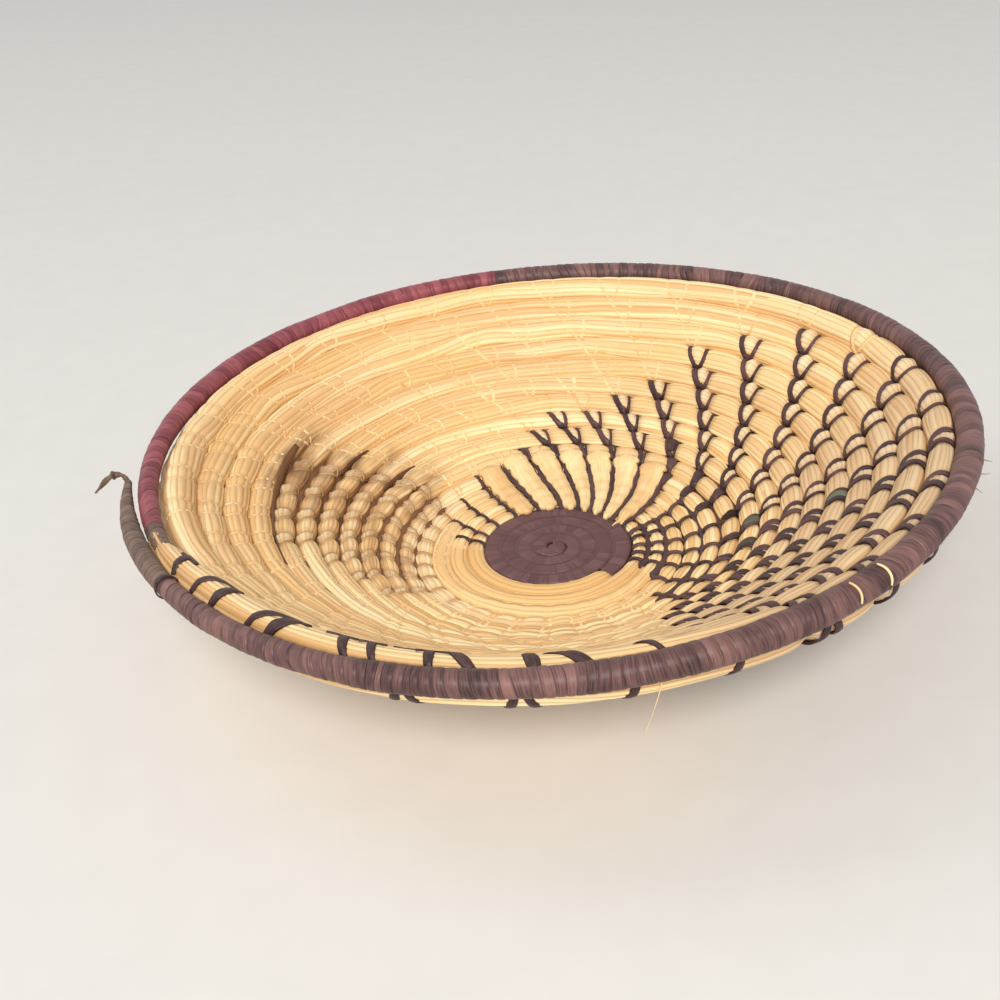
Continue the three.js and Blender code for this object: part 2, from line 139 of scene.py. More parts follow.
# Stitches
COLUMNS = 31
COLUMN_ANGLE = 6.0
COLUMN_ANGLE_RADIUS = 134.0
COLUMN_LEAN = 0.85
COLUMN_STRAY_AT = [-60, 12, 31, 45, 69, 90, 210, 300]
COLUMN_STRAY = [0, 0, 2, 4.8, 8, 8.5, -1, 0]
V_SPREAD_SHARE = 0.31

# Inside the knee the columns lean less, each by its own angle there in degrees
KNEE_RADIUS = 68.0
KNEE_LEAN_AT = [-27, -15, -2, 12, 25, 40, 90, 110, 135, 165, 200]
KNEE_LEAN = [0, 0.1, 0.2, 0.27, 0.4, 0.42, 0.42, 0.1, -0.3, -0.3, 0]

rng = np.random.default_rng(7)


# Curves of the coil

def smooth(x, low, high):
    share = np.clip((np.asarray(x, float) - low) / (high - low), 0, 1)
    return share * share * (3 - 2 * share)


def mix(first, second, share):
    return first * (1 - share) + second * share


def spiral_radius(turn):
    return FIRST_PITCH * turn + PITCH_GROWTH / 2 * turn**2


def coil_angle(turn):
    return 2 * np.pi * (TURN_OVER_X - turn)


def turn_at(whole, degrees):
    """The place on the coil at an angle, that many turns out."""
    return whole + TURN_OVER_X - degrees / 360


def wave(shape, angle):
    """A value that swings round the bowl, from a mean and the sizes and places of its waves."""
    mean, once, once_at, thrice, thrice_at = shape
    slow = once * np.cos(angle - math.radians(once_at))
    return mean + slow + thrice * np.cos(3 * (angle - math.radians(thrice_at)))


def drift_share(radius):
    return smooth(radius, DRIFT_START_RADIUS, DRIFT_FULL_RADIUS)


def row_drift(turn):
    """How far a row strays outwards from the plain spiral."""
    return drift_share(spiral_radius(turn)) * wave(ROW_DRIFT, coil_angle(turn))


def wall_share(radius):
    """The share of the way from the floor's edge to the rim."""
    return np.maximum(1e-9, (radius - FLOOR_RADIUS) / (RIM_RADIUS - FLOOR_RADIUS))


def wall_slope(radius):
    run = RIM_RADIUS - FLOOR_RADIUS
    return np.arctan(WALL_RISE * WALL_CURVE * wall_share(radius) ** (WALL_CURVE - 1) / run)


def bare_radius(turn):
    spiral = spiral_radius(turn)
    offset = drift_share(spiral) * WALL_OFFSET * np.sin(wall_slope(spiral))
    return spiral + row_drift(turn) + offset


def rim_share(turn):
    return smooth(turn, RIM_BLEND_START, RIM_BLEND_START + RIM_BLEND_TURNS)


def coil_radius(turn):
    rim = np.maximum(RIM_RADIUS, bare_radius(turn - 1) + RIM_STEP)
    round_wave = drift_share(spiral_radius(turn)) * wave(ROUNDNESS, coil_angle(turn))
    return round_wave + mix(bare_radius(turn), rim, rim_share(turn))


def coil_height(turn):
    """Height of the coil's centre line over the plane that the bowl rests on."""
    spiral = spiral_radius(turn)
    slope = wall_slope(spiral)
    wall = FLOOR_MIDDLE + WALL_RISE * wall_share(spiral) ** WALL_CURVE
    drift = row_drift(turn) * np.tan(slope) - drift_share(spiral) * WALL_OFFSET * np.cos(slope)
    return mix(wall + drift, RIM_HEIGHT, rim_share(turn))


def coil_frame(turn):
    """The centre line's points, and the directions up the wall and out of its inner face."""
    turn = np.asarray(turn, float)
    angle, radius = coil_angle(turn), coil_radius(turn)
    slope = wall_slope(spiral_radius(turn))
    cos, sin = np.cos(angle), np.sin(angle)
    centre = np.stack([radius * cos, radius * sin, coil_height(turn)], -1)
    up_wall = np.stack([cos * np.cos(slope), sin * np.cos(slope), np.sin(slope)], -1)
    inward = np.stack([-cos * np.sin(slope), -sin * np.sin(slope), np.cos(slope)], -1)
    return centre, up_wall, inward


def turn_distance(turn):
    """From a turn's centre line to the next turn's."""
    return np.linalg.norm(coil_frame(turn)[0] - coil_frame(turn + 1)[0], axis=-1)


def rim_half(turn):
    """Half of the wrapped coil's thickness, from where it swells to the tip of the tail."""
    swollen = mix(RIM_START_THICKNESS, RIM_THICKNESS, smooth(turn, GREY_WRAP_START, RIM_SWELL_END))
    thinned = mix(swollen, TAIL_THICKNESS, smooth(turn, TAIL_THINNING_START, TAIL_TAPER_START))
    taper = np.clip((turn - TAIL_TAPER_START) / (COIL_END - TAIL_TAPER_START), 0, 1)
    return mix(thinned, TAIL_TIP_THICKNESS, taper**TAIL_TAPER_CURVE) / 2


def halves(turn):
    """Half of the coil's width and thickness, and how far up the wall its middle is off its path."""
    turn = np.asarray(turn, float)
    axis_room = coil_radius(turn) - AXIS_CLEARANCE
    inner = np.minimum(axis_room, turn_distance(np.maximum(turn - 1, 0)) / 2)
    free = turn_distance(np.minimum(turn, LAST_FREE_TURN)) / 2
    under_rim = turn_distance(np.minimum(turn, LAST_TURN_UNDER_RIM)) - rim_half(turn + 1)
    outer = mix(free, under_rim, smooth(turn + 1, GREY_WRAP_START, RIM_SWELL_END))
    share = smooth(coil_radius(turn), FLOOR_RADIUS, FLOOR_RADIUS + THICKENING_WIDTH)
    height = mix(FLOOR_THICKNESS, WALL_THICKNESS, share) / 2
    rim = np.clip((turn - SHOULDER_START) / (GREY_WRAP_START - SHOULDER_START), 0, 1)
    width = mix((inner + outer) / 2 + TURN_OVERLAP, rim_half(turn), rim)
    return width, mix(height, rim_half(turn), rim), mix((outer - inner) / 2, 0, rim)


def coil_length(turns):
    """Length of the coil up to each turn of a rising list."""
    steps = np.linalg.norm(np.diff(coil_frame(turns)[0], axis=0), axis=-1)
    return np.concatenate([[0], np.cumsum(steps)])


def row_one_shift(turn):
    degrees = np.mod(np.degrees(coil_angle(turn)) - 180, 360) + 180
    shown = smooth(turn, *ROW_ONE_SHIFT_START) * (1 - smooth(turn, *ROW_ONE_SHIFT_END))
    return shown * np.interp(degrees, ROW_ONE_SHIFT_AT, ROW_ONE_SHIFT)


def section_point(turn, around, lift, press=BARE_PRESS, curve=BUNDLE_CURVE):
    """Points on the coil's skin, and the way out of it. around is 0 at the section's upper edge."""
    centre, up_wall, inward = coil_frame(turn)
    centre = centre - inward * row_one_shift(turn)[..., None]
    width, height, middle = halves(turn)
    cos, sin = np.cos(around), np.sin(around)
    across = middle + width * np.clip(press * np.sign(cos) * np.abs(cos) ** curve, -1, 1)
    out = np.sign(sin) * np.abs(sin) ** curve * height
    steer = np.stack([cos / width, sin / height], -1)
    steer /= np.linalg.norm(steer, axis=-1, keepdims=True)
    normal = up_wall * steer[..., :1] + inward * steer[..., 1:]
    point = centre + up_wall * across[..., None] + inward * out[..., None]
    return point + normal * np.asarray(lift)[..., None], normal


# Where the dyes lie. Angles are in degrees from -80 to 280, counterclockwise from +X.

DARK_LIMIT_ANGLES = [-80, 25, 36, 44, 54, 60, 70, 81, 96, 103, 116, 129, 150, 165, 172, 280]
DARK_LIMIT_RADII = [150, 142, 133, 124, 115, 98, 98, 86, 80, 64, 60, 53, 44, 36, 0, 0]
DARK_FRONT_RADII = [26, 30, 35, 42, 50, 60, 85, 150]
DARK_FRONT_ANGLES = [-20, -25, -33, -36, -52, -57, -70, -75]
BROWN_LEFT_RADII = [53, 67, 90, 110]
BROWN_LEFT_ANGLES = [132, 137, 147, 148]
BROWN_RIGHT_RADII = [53, 80, 110]
BROWN_RIGHT_ANGLES = [232, 218, 200]
BROWN_FADE = 45
BROWN_INNER_EDGE = (49, 55)
BROWN_OUTER_EDGE = (107.5, 109.5)

# Regions: the angles and the radii from, to and half of the soft edge there
STAIN_MIDDLE = (166, 214, 12), (62, 98, 6)
DYED_EDGE = (146, 172, 5), (88, 109, 3)
DYED_OUTER_CORNER = (134, 150, 4), (78, 92, 3)
DYED_INNER_CORNER = (128, 144, 4), (62, 76, 3)
FINGERS = (22, 112, 8), (26, 60, 5)
FINGER_PADS = (22, 112, 8), (25, 64, 3)
BEAD_ROW = (132, 226, 4), (47.5, 54.5, 1.2)
GRID_FRONT = (-80, -34, 6), (48, 84, 6)
GOLD_ANGLES = (170, 325, 8)
GOLD_OUTER_EDGE = (36, 50)
GRID_ANGLES = (-48, 24, 6)
GRID_OUTER_EDGE = (66, 84)


def wrapped(degrees):
    """An angle brought between -80 and 280 degrees."""
    return np.mod(np.asarray(degrees, float) + 80, 360) - 80


def window(value, low, high, soft):
    """1 between two values, falling to 0 over a soft edge on each side."""
    return smooth(value, low - soft, low + soft) * (1 - smooth(value, high - soft, high + soft))


def region(degrees, radius, place):
    """1 inside a region, falling to 0 over its soft edge."""
    around, out = place
    return window(degrees, *around) * window(radius, *out)


def dark_share(degrees, radius):
    """The region on the right-hand side whose stitches are dark."""
    front = np.interp(radius, DARK_FRONT_RADII, DARK_FRONT_ANGLES)
    limit = np.interp(degrees, DARK_LIMIT_ANGLES, DARK_LIMIT_RADII)
    return smooth(degrees, front - 3, front + 2) * (1 - smooth(radius, limit - 6, limit + 3))


def brown_share(degrees, radius):
    """The patch on the left whose stitches are brown, and whose dye has soaked into the stalks."""
    left = np.interp(radius, BROWN_LEFT_RADII, BROWN_LEFT_ANGLES)
    right = np.interp(radius, BROWN_RIGHT_RADII, BROWN_RIGHT_ANGLES)
    across = smooth(degrees, left - 2, left + 6) * (1 - smooth(degrees, right - BROWN_FADE, right))
    return across * smooth(radius, *BROWN_INNER_EDGE) * (1 - smooth(radius, *BROWN_OUTER_EDGE))


def stain_share(degrees, radius):
    """How much dye the stalks of the patch took in. Its middle is paler than its edges."""
    return brown_share(degrees, radius) * (1 - 0.45 * region(degrees, radius, STAIN_MIDDLE))


def dyed_share(degrees, radius):
    """The darkest spots of the brown patch, along its upper edge."""
    corners = region(degrees, radius, DYED_OUTER_CORNER) + region(degrees, radius, DYED_INNER_CORNER)
    return region(degrees, radius, DYED_EDGE) + 0.8 * corners


def finger_share(degrees, radius):
    """Behind the centre the rows are hidden under long pale strands that lie along the columns."""
    return region(degrees, radius, FINGERS)


def bead_row_share(degrees, radius):
    """Left of the centre a row stands out as a string of pale beads."""
    return region(degrees, radius, BEAD_ROW)


def gold_share(degrees, radius):
    """The plain golden part of the floor, whose stitches can't be seen."""
    turned = np.mod(np.asarray(degrees, float), 360)
    return window(turned, *GOLD_ANGLES) * (1 - smooth(radius, *GOLD_OUTER_EDGE))


def grid_share(degrees, radius):
    """Right of the centre the dark strip outlines every bead on all sides."""
    beside = window(degrees, *GRID_ANGLES) * (1 - smooth(radius, *GRID_OUTER_EDGE))
    return np.maximum(beside, region(degrees, radius, GRID_FRONT))


def press_at(turns):
    """How far the bundle fills the corners of its section."""
    degrees, radius = wrapped(np.degrees(coil_angle(turns))), coil_radius(turns)
    press = mix(BARE_PRESS, FILLED_PRESS, finger_share(degrees, radius))
    rounded = np.maximum(grid_share(degrees, radius), brown_share(degrees, radius))
    return mix(press, ROUND_PRESS, rounded)


# Meshes

def wander(length, spacing, size, generator):
    """A smooth random curve over a rising length, with a new value about every spacing."""
    knots = int(math.ceil(length[-1] / spacing)) + 3
    values = generator.normal(0, size, knots)
    place = np.maximum(length, 0) / spacing
    i = np.floor(place).astype(int)
    share = place - i
    share = share * share * (3 - 2 * share)
    return mix(values[i], values[i + 1], share)


def mesh_object(name, points, faces, marks=None, uv=None):
    """An object from points in millimetres and faces, where a repeated last corner means a triangle."""
    mesh = bpy.data.meshes.new(name)
    points = np.asarray(points, np.float32).reshape(-1, 3) * MM
    faces = np.asarray(faces, np.int32).reshape(-1, 4)
    triangle = faces[:, 2] == faces[:, 3]
    sizes = np.where(triangle, 3, 4).astype(np.int32)
    kept = np.ones(faces.shape, bool)
    kept[triangle, 3] = False
    corners = faces[kept]
    mesh.vertices.add(len(points))
    mesh.vertices.foreach_set("co", points.ravel())
    mesh.loops.add(len(corners))
    mesh.loops.foreach_set("vertex_index", corners)
    mesh.polygons.add(len(faces))
    starts = np.concatenate([[0], np.cumsum(sizes)[:-1]]).astype(np.int32)
    mesh.polygons.foreach_set("loop_start", starts)
    mesh.polygons.foreach_set("loop_total", sizes)
    mesh.polygons.foreach_set("use_smooth", np.ones(len(faces), bool))
    mesh.update(calc_edges=True)
    for key, values in (marks or {}).items():
        add_mark(mesh, key, np.asarray(values, np.float32), len(points))
    if uv is not None:
        layer = mesh.uv_layers.new(name="OFBake")
        layer.uv.foreach_set("vector", np.asarray(uv, np.float32).reshape(-1, 4, 2)[kept].ravel())
    ob = bpy.data.objects.new(name, mesh)
    bpy.context.scene.collection.objects.link(ob)
    return ob


def add_mark(mesh, key, values, count):
    """Values at a mesh's points, for its material: numbers, or vectors where there are three a point."""
    if values.size == 3 * count:
        mark = mesh.attributes.new(key, "FLOAT_VECTOR", "POINT")
        mark.data.foreach_set("vector", values.ravel())
    else:
        mark = mesh.attributes.new(key, "FLOAT", "POINT")
        mark.data.foreach_set("value", values.ravel())


def grid_faces(rows, columns, closed=True, flip=False):
    """Faces between rows of points that follow each other."""
    i = np.arange(rows - 1)[:, None] * columns
    j = np.arange(columns if closed else columns - 1)[None, :]
    k = (j + 1) % columns
    corners = [i + j, i + k, i + columns + k, i + columns + j]
    if flip:
        corners.reverse()
    return np.stack(corners, -1).reshape(-1, 4)


# Millimetres of skin per radian round the coil's section, and bands of the flat layouts
BUNDLE_REACH = 5.5
BUNDLE_BANDS = 12
WRAP_REACH = 4.7
WRAP_BANDS = 24
BAND_MARGIN = 0.02
END_MARGIN = 0.01


def grid_uv(rows, columns, bands, closed=True, flip=False):
    """The flat layout of a long grid's faces, folded into bands that lie side by side."""
    across = columns if closed else columns - 1
    per_band = math.ceil((rows - 1) / bands)
    i = np.arange(rows - 1)[:, None] + np.zeros((1, across))
    j = np.arange(across)[None, :] + np.zeros((rows - 1, 1))
    band = np.floor(i / per_band)
    v = (i - band * per_band) / per_band

    def place(du, dv):
        u = (band + BAND_MARGIN + (1 - 2 * BAND_MARGIN) * (j + du) / across) / bands
        return np.stack([u, END_MARGIN + (1 - 2 * END_MARGIN) * (v + dv / per_band)], -1)

    corners = [place(0, 0), place(1, 0), place(1, 1), place(0, 1)]
    if flip:
        corners.reverse()
    return np.stack(corners, -2).reshape(-1, 4, 2)


def tube_faces(count, rows, columns):
    """Faces of many tubes whose points follow each other, with their ends closed by fans."""
    one = grid_faces(rows, columns)
    ends = []
    last = (rows - 1) * columns
    for j in range(1, columns - 1):
        ends.append([0, j + 1, j, j])
        ends.append([last, last + j, last + j + 1, last + j + 1])
    one = np.concatenate([one, np.array(ends)])
    return (np.arange(count)[:, None, None] * rows * columns + one[None]).reshape(-1, 4)


def tube_uv(count, rows, columns):
    """The flat layout of many tubes: each has a square of its own."""
    one = grid_uv(rows, columns, 1)
    end = np.array([[0.99, 0.99], [1.0, 0.99], [1.0, 1.0], [0.99, 1.0]])
    one = np.concatenate([one, np.repeat(end[None], 2 * (columns - 2), 0)])
    side = math.ceil(math.sqrt(count))
    k = np.arange(count)
    corner = np.stack([k % side, k // side], -1)
    return (corner[:, None, None, :] + one[None] * (1 - 2 * BAND_MARGIN) + BAND_MARGIN) / side


# A strip's section: places across in half widths, and rises in thicknesses
STRIP_PROFILE = [(-1, -0.5), (-0.78, 0.62), (0, 1), (0.78, 0.62), (1, -0.5), (0, -0.9)]


def strip_rings(path, normal, width, thickness):
    """Rings of flat strips with rounded edges, path and normal being strips x rows x 3."""
    tangent = np.gradient(path, axis=1)
    side = np.cross(tangent, normal)
    side /= np.maximum(np.linalg.norm(side, axis=-1, keepdims=True), 1e-9)
    out = np.cross(side, tangent)
    out /= np.maximum(np.linalg.norm(out, axis=-1, keepdims=True), 1e-9)
    rings = [
        path + side * (width * across / 2)[..., None] + out * (thickness * rise)[..., None]
        for across, rise in STRIP_PROFILE
    ]
    return np.stack(rings, 2)


class StripSet:
    """Flat strips that are gathered and then made into one object."""

    def __init__(self):
        self.paths, self.normals, self.widths = [], [], []

    def add(self, path, normal, width):
        self.paths.append(path)
        self.normals.append(normal)
        self.widths.append(width)

    def make(self, name, thickness, strip_marks):
        """Each mark has a value for every strip."""
        path, normal, width = np.array(self.paths), np.array(self.normals), np.array(self.widths)
        rings = strip_rings(path, normal, width, thickness * np.ones(width.shape))
        count, rows, corners = rings.shape[:3]
        shape = (count, rows, corners)
        marks = {
            key: np.broadcast_to(np.asarray(values, float)[:, None, None], shape)
            for key, values in strip_marks.items()
        }
        steps = np.linalg.norm(np.diff(path, axis=1), axis=-1)
        along = np.concatenate([np.zeros((count, 1)), np.cumsum(steps, 1)], 1)
        across = np.array([across for across, _ in STRIP_PROFILE]) * (width[..., None] / 2)
        seed = marks["tone"] * 40 + np.arange(count)[:, None, None] * 3.7
        marks["place"] = np.stack([along[..., None] + seed, across + seed, seed], -1)
        return mesh_object(name, rings, tube_faces(*shape), marks, tube_uv(*shape))


def strip_shades(tone, dark=0.0, brown=0.0, green=0.0):
    """The marks of strips that are all of one dye, each with its own tone."""
    dyes = {"dark": dark, "brown": brown, "green": green}
    return {**{dye: np.full(len(tone), share) for dye, share in dyes.items()}, "tone": tone}


def tube_object(name, path, radii, sides, tone, ridges=0.0):
    """A round tube along a path, whose skin may be ridged as a twisted strip's is."""
    tangent = np.gradient(path, axis=0)
    tangent /= np.linalg.norm(tangent, axis=-1, keepdims=True)
    side = np.cross(tangent, [0.13, 0.31, 0.94])
    side /= np.linalg.norm(side, axis=-1, keepdims=True)
    other = np.cross(side, tangent)
    around = np.linspace(0, 2 * np.pi, sides, endpoint=False)
    rows = len(path)
    twist = np.linspace(0, 6 * np.pi, rows)[:, None]
    reach = radii[:, None] * (1 + ridges * np.cos(2 * around[None] + twist))
    cos, sin = np.cos(around)[None, :, None], np.sin(around)[None, :, None]
    ring = side[:, None] * cos - other[:, None] * sin
    points = path[:, None] + ring * reach[..., None]
    steps = np.linalg.norm(np.diff(path, axis=0), axis=-1)
    along = np.concatenate([[0], np.cumsum(steps)])[:, None] + 0 * around
    marks = {
        "tone": tone[:, None] + 0 * around,
        "groove_shade": 0 * along,
        "place": np.stack([along, np.mean(radii) * around[None, :] + 0 * along, 0 * along], -1),
    }
    return mesh_object(name, points, tube_faces(1, rows, sides), marks, tube_uv(1, rows, sides))


# Where each stitch lies

# The most turns that are tried for a stitch, and the rounds in which its place on a turn settles
MOST_TURNS = 24
SETTLING_ROUNDS = 60

# The top row, where the strips over the rim's edge take the place of the stitches at the front
TOP_ROW_START = 18.76
CLAWS_FROM = 201
CLAWS_UP_TO = -72
BARE_OUTSIDE_UP_TO = -38

# How wide the V of a stitch opens, by its distance from the centre
NARROWEST_V_RADIUS = 60
WIDEST_V_RADIUS = 76
PALE_V_OPENING = 0.75
GROOVE_SHARE = 0.12

# Where strips are broader, thinner or pressed in more than elsewhere
FRONT_ANGLES = (-85, -12, 5)
FRONT_RADII = (60, 78)
PRESSED_FRONT_ANGLES = [(-110, -40, 10), (228, 300, 10)]
PRESSED_LEFT_ANGLES = (158, 222, 10)
PRESSED_LEFT_RADII = (104, 114)
THIN_STRIP_ANGLES = (116, 170)
BROWN_STRIP_WIDTH = 1.3
THIN_STRIP_WIDTH = 1.6
PALE_STRIP_WIDTH = 2.0
DARK_STRIP_WIDTH = 3.4


def column_angle(column, radius):
    """Angle of a column where it crosses a radius: it leans more and more round as it climbs."""
    first = COLUMN_ANGLE + 360 / COLUMNS * column
    place = first if first < COLUMN_STRAY_AT[-1] else first - 360
    place += np.interp(place, COLUMN_STRAY_AT, COLUMN_STRAY)
    knee = place + math.degrees(COLUMN_LEAN * math.log(KNEE_RADIUS / COLUMN_ANGLE_RADIUS))
    above = COLUMN_LEAN * np.log(np.maximum(radius, KNEE_RADIUS) / COLUMN_ANGLE_RADIUS)
    inside = np.log(np.clip(radius, 8, KNEE_RADIUS) / KNEE_RADIUS)
    return np.radians(place) + above + np.interp(knee, KNEE_LEAN_AT, KNEE_LEAN) * inside


def crossing_turns(column):
    """The turns at which the bare coil passes under a column."""
    found = []
    for count in range(1, MOST_TURNS):
        turn = float(count)
        for _ in range(SETTLING_ROUNDS):
            angle = column_angle(column, float(coil_radius(max(turn, 1.0))))
            turn = (turn + count + TURN_OVER_X - angle / (2 * np.pi)) / 2
        if BUNDLE_START + 0.1 < turn < SHOULDER_START:
            found.append(turn)
    return found


def size_share(radius):
    """Strips are a little narrower near the centre."""
    return 0.8 + 0.2 * float(smooth(radius, 45, 105))


class Crossing:
    """One column's stitch on one turn: a V with its point at the turn's lower edge."""

    def __init__(self, column, turn):
        self.column = column
        self.turn = turn
        self.radius = float(coil_radius(turn))
        self.degrees = float(wrapped(math.degrees(float(coil_angle(turn)))))
        self.dark = float(dark_share(self.degrees, self.radius))
        self.brown = float(brown_share(self.degrees, self.radius)) > 0.3
        self.gold = float(gold_share(self.degrees, self.radius))
        self.fingers = float(finger_share(self.degrees, self.radius)) > 0.5
        self.grid = float(grid_share(self.degrees, self.radius))
        self.front = float(window(self.degrees, *FRONT_ANGLES) * smooth(self.radius, *FRONT_RADII))
        self.top_row = turn > TOP_ROW_START
        self.hidden = self.top_row and (self.degrees > CLAWS_FROM or self.degrees < CLAWS_UP_TO)
        opened = smooth(self.radius, NARROWEST_V_RADIUS, WIDEST_V_RADIUS)
        if self.dark < 0.3:
            opened = max(opened, PALE_V_OPENING)
        if float(bead_row_share(self.degrees, self.radius)) > 0.4:
            self.brown, opened = True, 0.0
        self.spread = float(V_SPREAD_SHARE * 2 * np.pi / COLUMNS * opened)
        self.double = opened > 0.15

    def dyed(self):
        """The share of dark or brown strip, which is pulled tighter than the natural one."""
        return max(self.dark, float(self.brown))

    def width(self):
        if self.brown:
            return BROWN_STRIP_WIDTH
        if THIN_STRIP_ANGLES[0] < self.degrees < THIN_STRIP_ANGLES[1]:
            return THIN_STRIP_WIDTH
        dark = DARK_STRIP_WIDTH + 0.6 * self.front - 0.7 * self.grid * (1 - self.front)
        return mix(PALE_STRIP_WIDTH, dark, self.dark) * size_share(self.radius)

    def depth(self):
        """How deep the strip presses the straw in."""
        deep = 0.95 + 0.55 * float(smooth(self.radius, 40, 100)) + 0.35 * self.front
        front = float(sum(window(self.degrees, *angles) for angles in PRESSED_FRONT_ANGLES))
        left = float(window(self.degrees, *PRESSED_LEFT_ANGLES) * smooth(self.radius, *PRESSED_LEFT_RADII))
        plain = (0.2 + 0.5 * min(front, 1) + 0.45 * left) * (1 - 0.85 * self.gold)
        return mix(plain, deep, self.dyed())

    def raised(self):
        """How far the strip's middle stands over the straw as it was before the strip pressed it in."""
        full = 0.8 + 0.1 * self.grid + 0.7 * self.front
        return mix(-0.08, full, self.dark) + 0.25 * self.brown - self.depth() - 0.4 * self.gold

    def reach(self):
        """How far along the coil the strip's press is felt."""
        return mix(1.5, 2.0, self.dyed())

    def leg(self, spread_share, steps):
        """Turns along a leg, from the V's point to the leg's end at the turn's upper edge."""
        width = float(halves(self.turn)[0] * np.cos(wall_slope(spiral_radius(self.turn))))
        reach = self.radius - width * np.cos(np.pi * steps)
        opened = np.clip((steps - GROOVE_SHARE) / (1 - 2 * GROOVE_SHARE), 0, 1)
        lean = mix(1 - 2 * spread_share, 1.0, self.front)
        bow = mix(0.2, 0.34, self.front) * self.spread * np.sin(np.pi * opened) * lean
        angle = column_angle(self.column, reach) - spread_share * self.spread * opened**0.8 + bow
        own = float(coil_angle(self.turn)) - float(column_angle(self.column, self.radius))
        whole = np.round(own / (2 * np.pi)) * 2 * np.pi
        return TURN_OVER_X - (angle + whole) / (2 * np.pi)

    def legs(self):
        """The legs' shares of the V's spread: two legs, or one where the stitch stays closed."""
        return (0.0, 1.0) if self.double else (0.0,)


def around_at(side, steps):
    """The way round the coil's section of steps up its inner face (side 1) or outer face (side -1)."""
    return np.pi * (1 - steps) if side > 0 else np.pi * (1 + steps)


def all_crossings():
    return [Crossing(column, turn) for column in range(COLUMNS) for turn in crossing_turns(column)]


# How the stitches shape the bundle

FIELD_STEPS = 25
STITCH_REACH = 12
BEAD_STEPS = (0.36, 0.9, 0.12)


class Field:
    """A value on each face of the coil, at each station along it and step across it."""

    def __init__(self, stations):
        self.faces = {side: np.zeros((stations, FIELD_STEPS), np.float32) for side in (1, -1)}

    def raise_to(self, side, low, high, values):
        part = self.faces[side][low:high]
        np.maximum(part, values, out=part)

    def read(self, around):
        """Values at angles round the section, given for each station."""
        turned = np.mod(around, 2 * np.pi)
        inner = turned <= np.pi
        step = np.where(inner, 1 - turned / np.pi, turned / np.pi - 1) * (FIELD_STEPS - 1)
        low = np.clip(np.floor(step).astype(int), 0, FIELD_STEPS - 2)
        part = step - low
        row = np.arange(len(around))[:, None]
        faces = [mix(self.faces[s][row, low], self.faces[s][row, low + 1], part) for s in (1, -1)]
        return np.where(inner, faces[0], faces[1])


def stitch_fields(turns, length, crossings):
    """How far the stitches press the bundle in, and where it swells as beads between their legs."""
    dents, beads = Field(len(turns)), Field(len(turns))
    steps = np.linspace(0, 1, FIELD_STEPS)
    for crossing in crossings:
        if crossing.hidden:
            continue
        legs = [np.interp(crossing.leg(share, steps), turns, length) for share in crossing.legs()]
        ends = np.min(legs) - STITCH_REACH, np.max(legs) + STITCH_REACH
        low, high = np.searchsorted(length, ends)
        here = length[low:high, None]
        for side in (1, -1):
            for at in legs:
                near = ((here - at[None, :]) / crossing.reach()) ** 2
                dent = 0.64 * np.exp(-near) + 0.36 * np.exp(-near / 8)
                dents.raise_to(side, low, high, crossing.depth() * dent)
            if crossing.double:
                middle, gap = (legs[0] + legs[1]) / 2, np.abs(legs[0] - legs[1]) + 0.5
                near = ((here - middle[None, :]) / (0.36 * gap[None, :])) ** 2
                bead = np.exp(-near) * window(steps, *BEAD_STEPS)[None, :]
                beads.raise_to(side, low, high, bead * crossing.dyed())
    return dents, beads


# The bundle of stalks

# Stations along the coil from each column to the next: from turn, to turn and how many
STATIONS_PER_COLUMN = [(BUNDLE_START, 9.0, 8), (9.0, 13.5, 12), (13.5, BUNDLE_END, 16)]
BUNDLE_PIECES = [
    ("coil_floor", 4.4, 9.0),
    ("coil_wall_1", 9.0, 11.3),
    ("coil_wall_2", 11.3, 13.5),
    ("coil_wall_3", 13.5, 15.1),
    ("coil_wall_4", 15.1, 16.7),
    ("coil_wall_5", 16.7, 18.25),
    ("coil_wall_6", 18.25, BUNDLE_END),
]
SHORTEST_STALK = 90
LONGEST_STALK = 380
MOST_LENGTHS = 140
WRAP_INSET_END = (4.475, 4.5)
WRAP_INSET_START = (19.768, 19.776)
DULL_ANGLES = (-78, 8, 14)
DULL_RADII = (70, 100)
SEAM_OUTER_EDGE = (84, 100)
LOWEST_STRAW = 0.02
LOWEST_STRIP = 0.35


def bundle_turns():
    lists = [np.arange(low, high, 1 / (COLUMNS * steps)) for low, high, steps in STATIONS_PER_COLUMN]
    return np.concatenate(lists + [[BUNDLE_END]])


def stalk_shapes(turns, length):
    """Each stalk's share of the way round the bundle, its rise and its tone, at each station."""
    order = np.argsort(np.argsort(np.mod(np.arange(STALKS) * 0.618, 1)))
    width, height, _ = halves(turns)
    room = np.pi * (width + height) / STALK_WIDTH
    shares, rises, tones = [], [], []
    for stalk in range(STALKS):
        ends = np.cumsum(rng.uniform(SHORTEST_STALK, LONGEST_STALK, MOST_LENGTHS - 10))
        piece = np.searchsorted(ends, length)
        before = np.abs(length - ends[np.maximum(piece - 1, 0)])
        after = np.abs(length - ends[np.minimum(piece, len(ends) - 1)])
        taper = 1 - 0.6 * np.exp(-((np.minimum(before, after) / 15) ** 2))
        active = np.clip(room - order[stalk], 0.04, 1)
        shares.append(active * taper * np.clip(1 + wander(length, 130, 0.16, rng), 0.5, 1.6))
        rise = rng.uniform(-0.2, 0.22, MOST_LENGTHS)[piece] + wander(length, 60, 0.04, rng)
        rises.append(rise * taper)
        tone = rng.normal(0, 0.5, MOST_LENGTHS)[piece] + wander(length, 60, 0.16, rng)
        tones.append(np.clip(tone, -1, 1))
    shares = np.stack(shares, 1)
    return shares / shares.sum(1, keepdims=True), np.stack(rises, 1), np.stack(tones, 1)


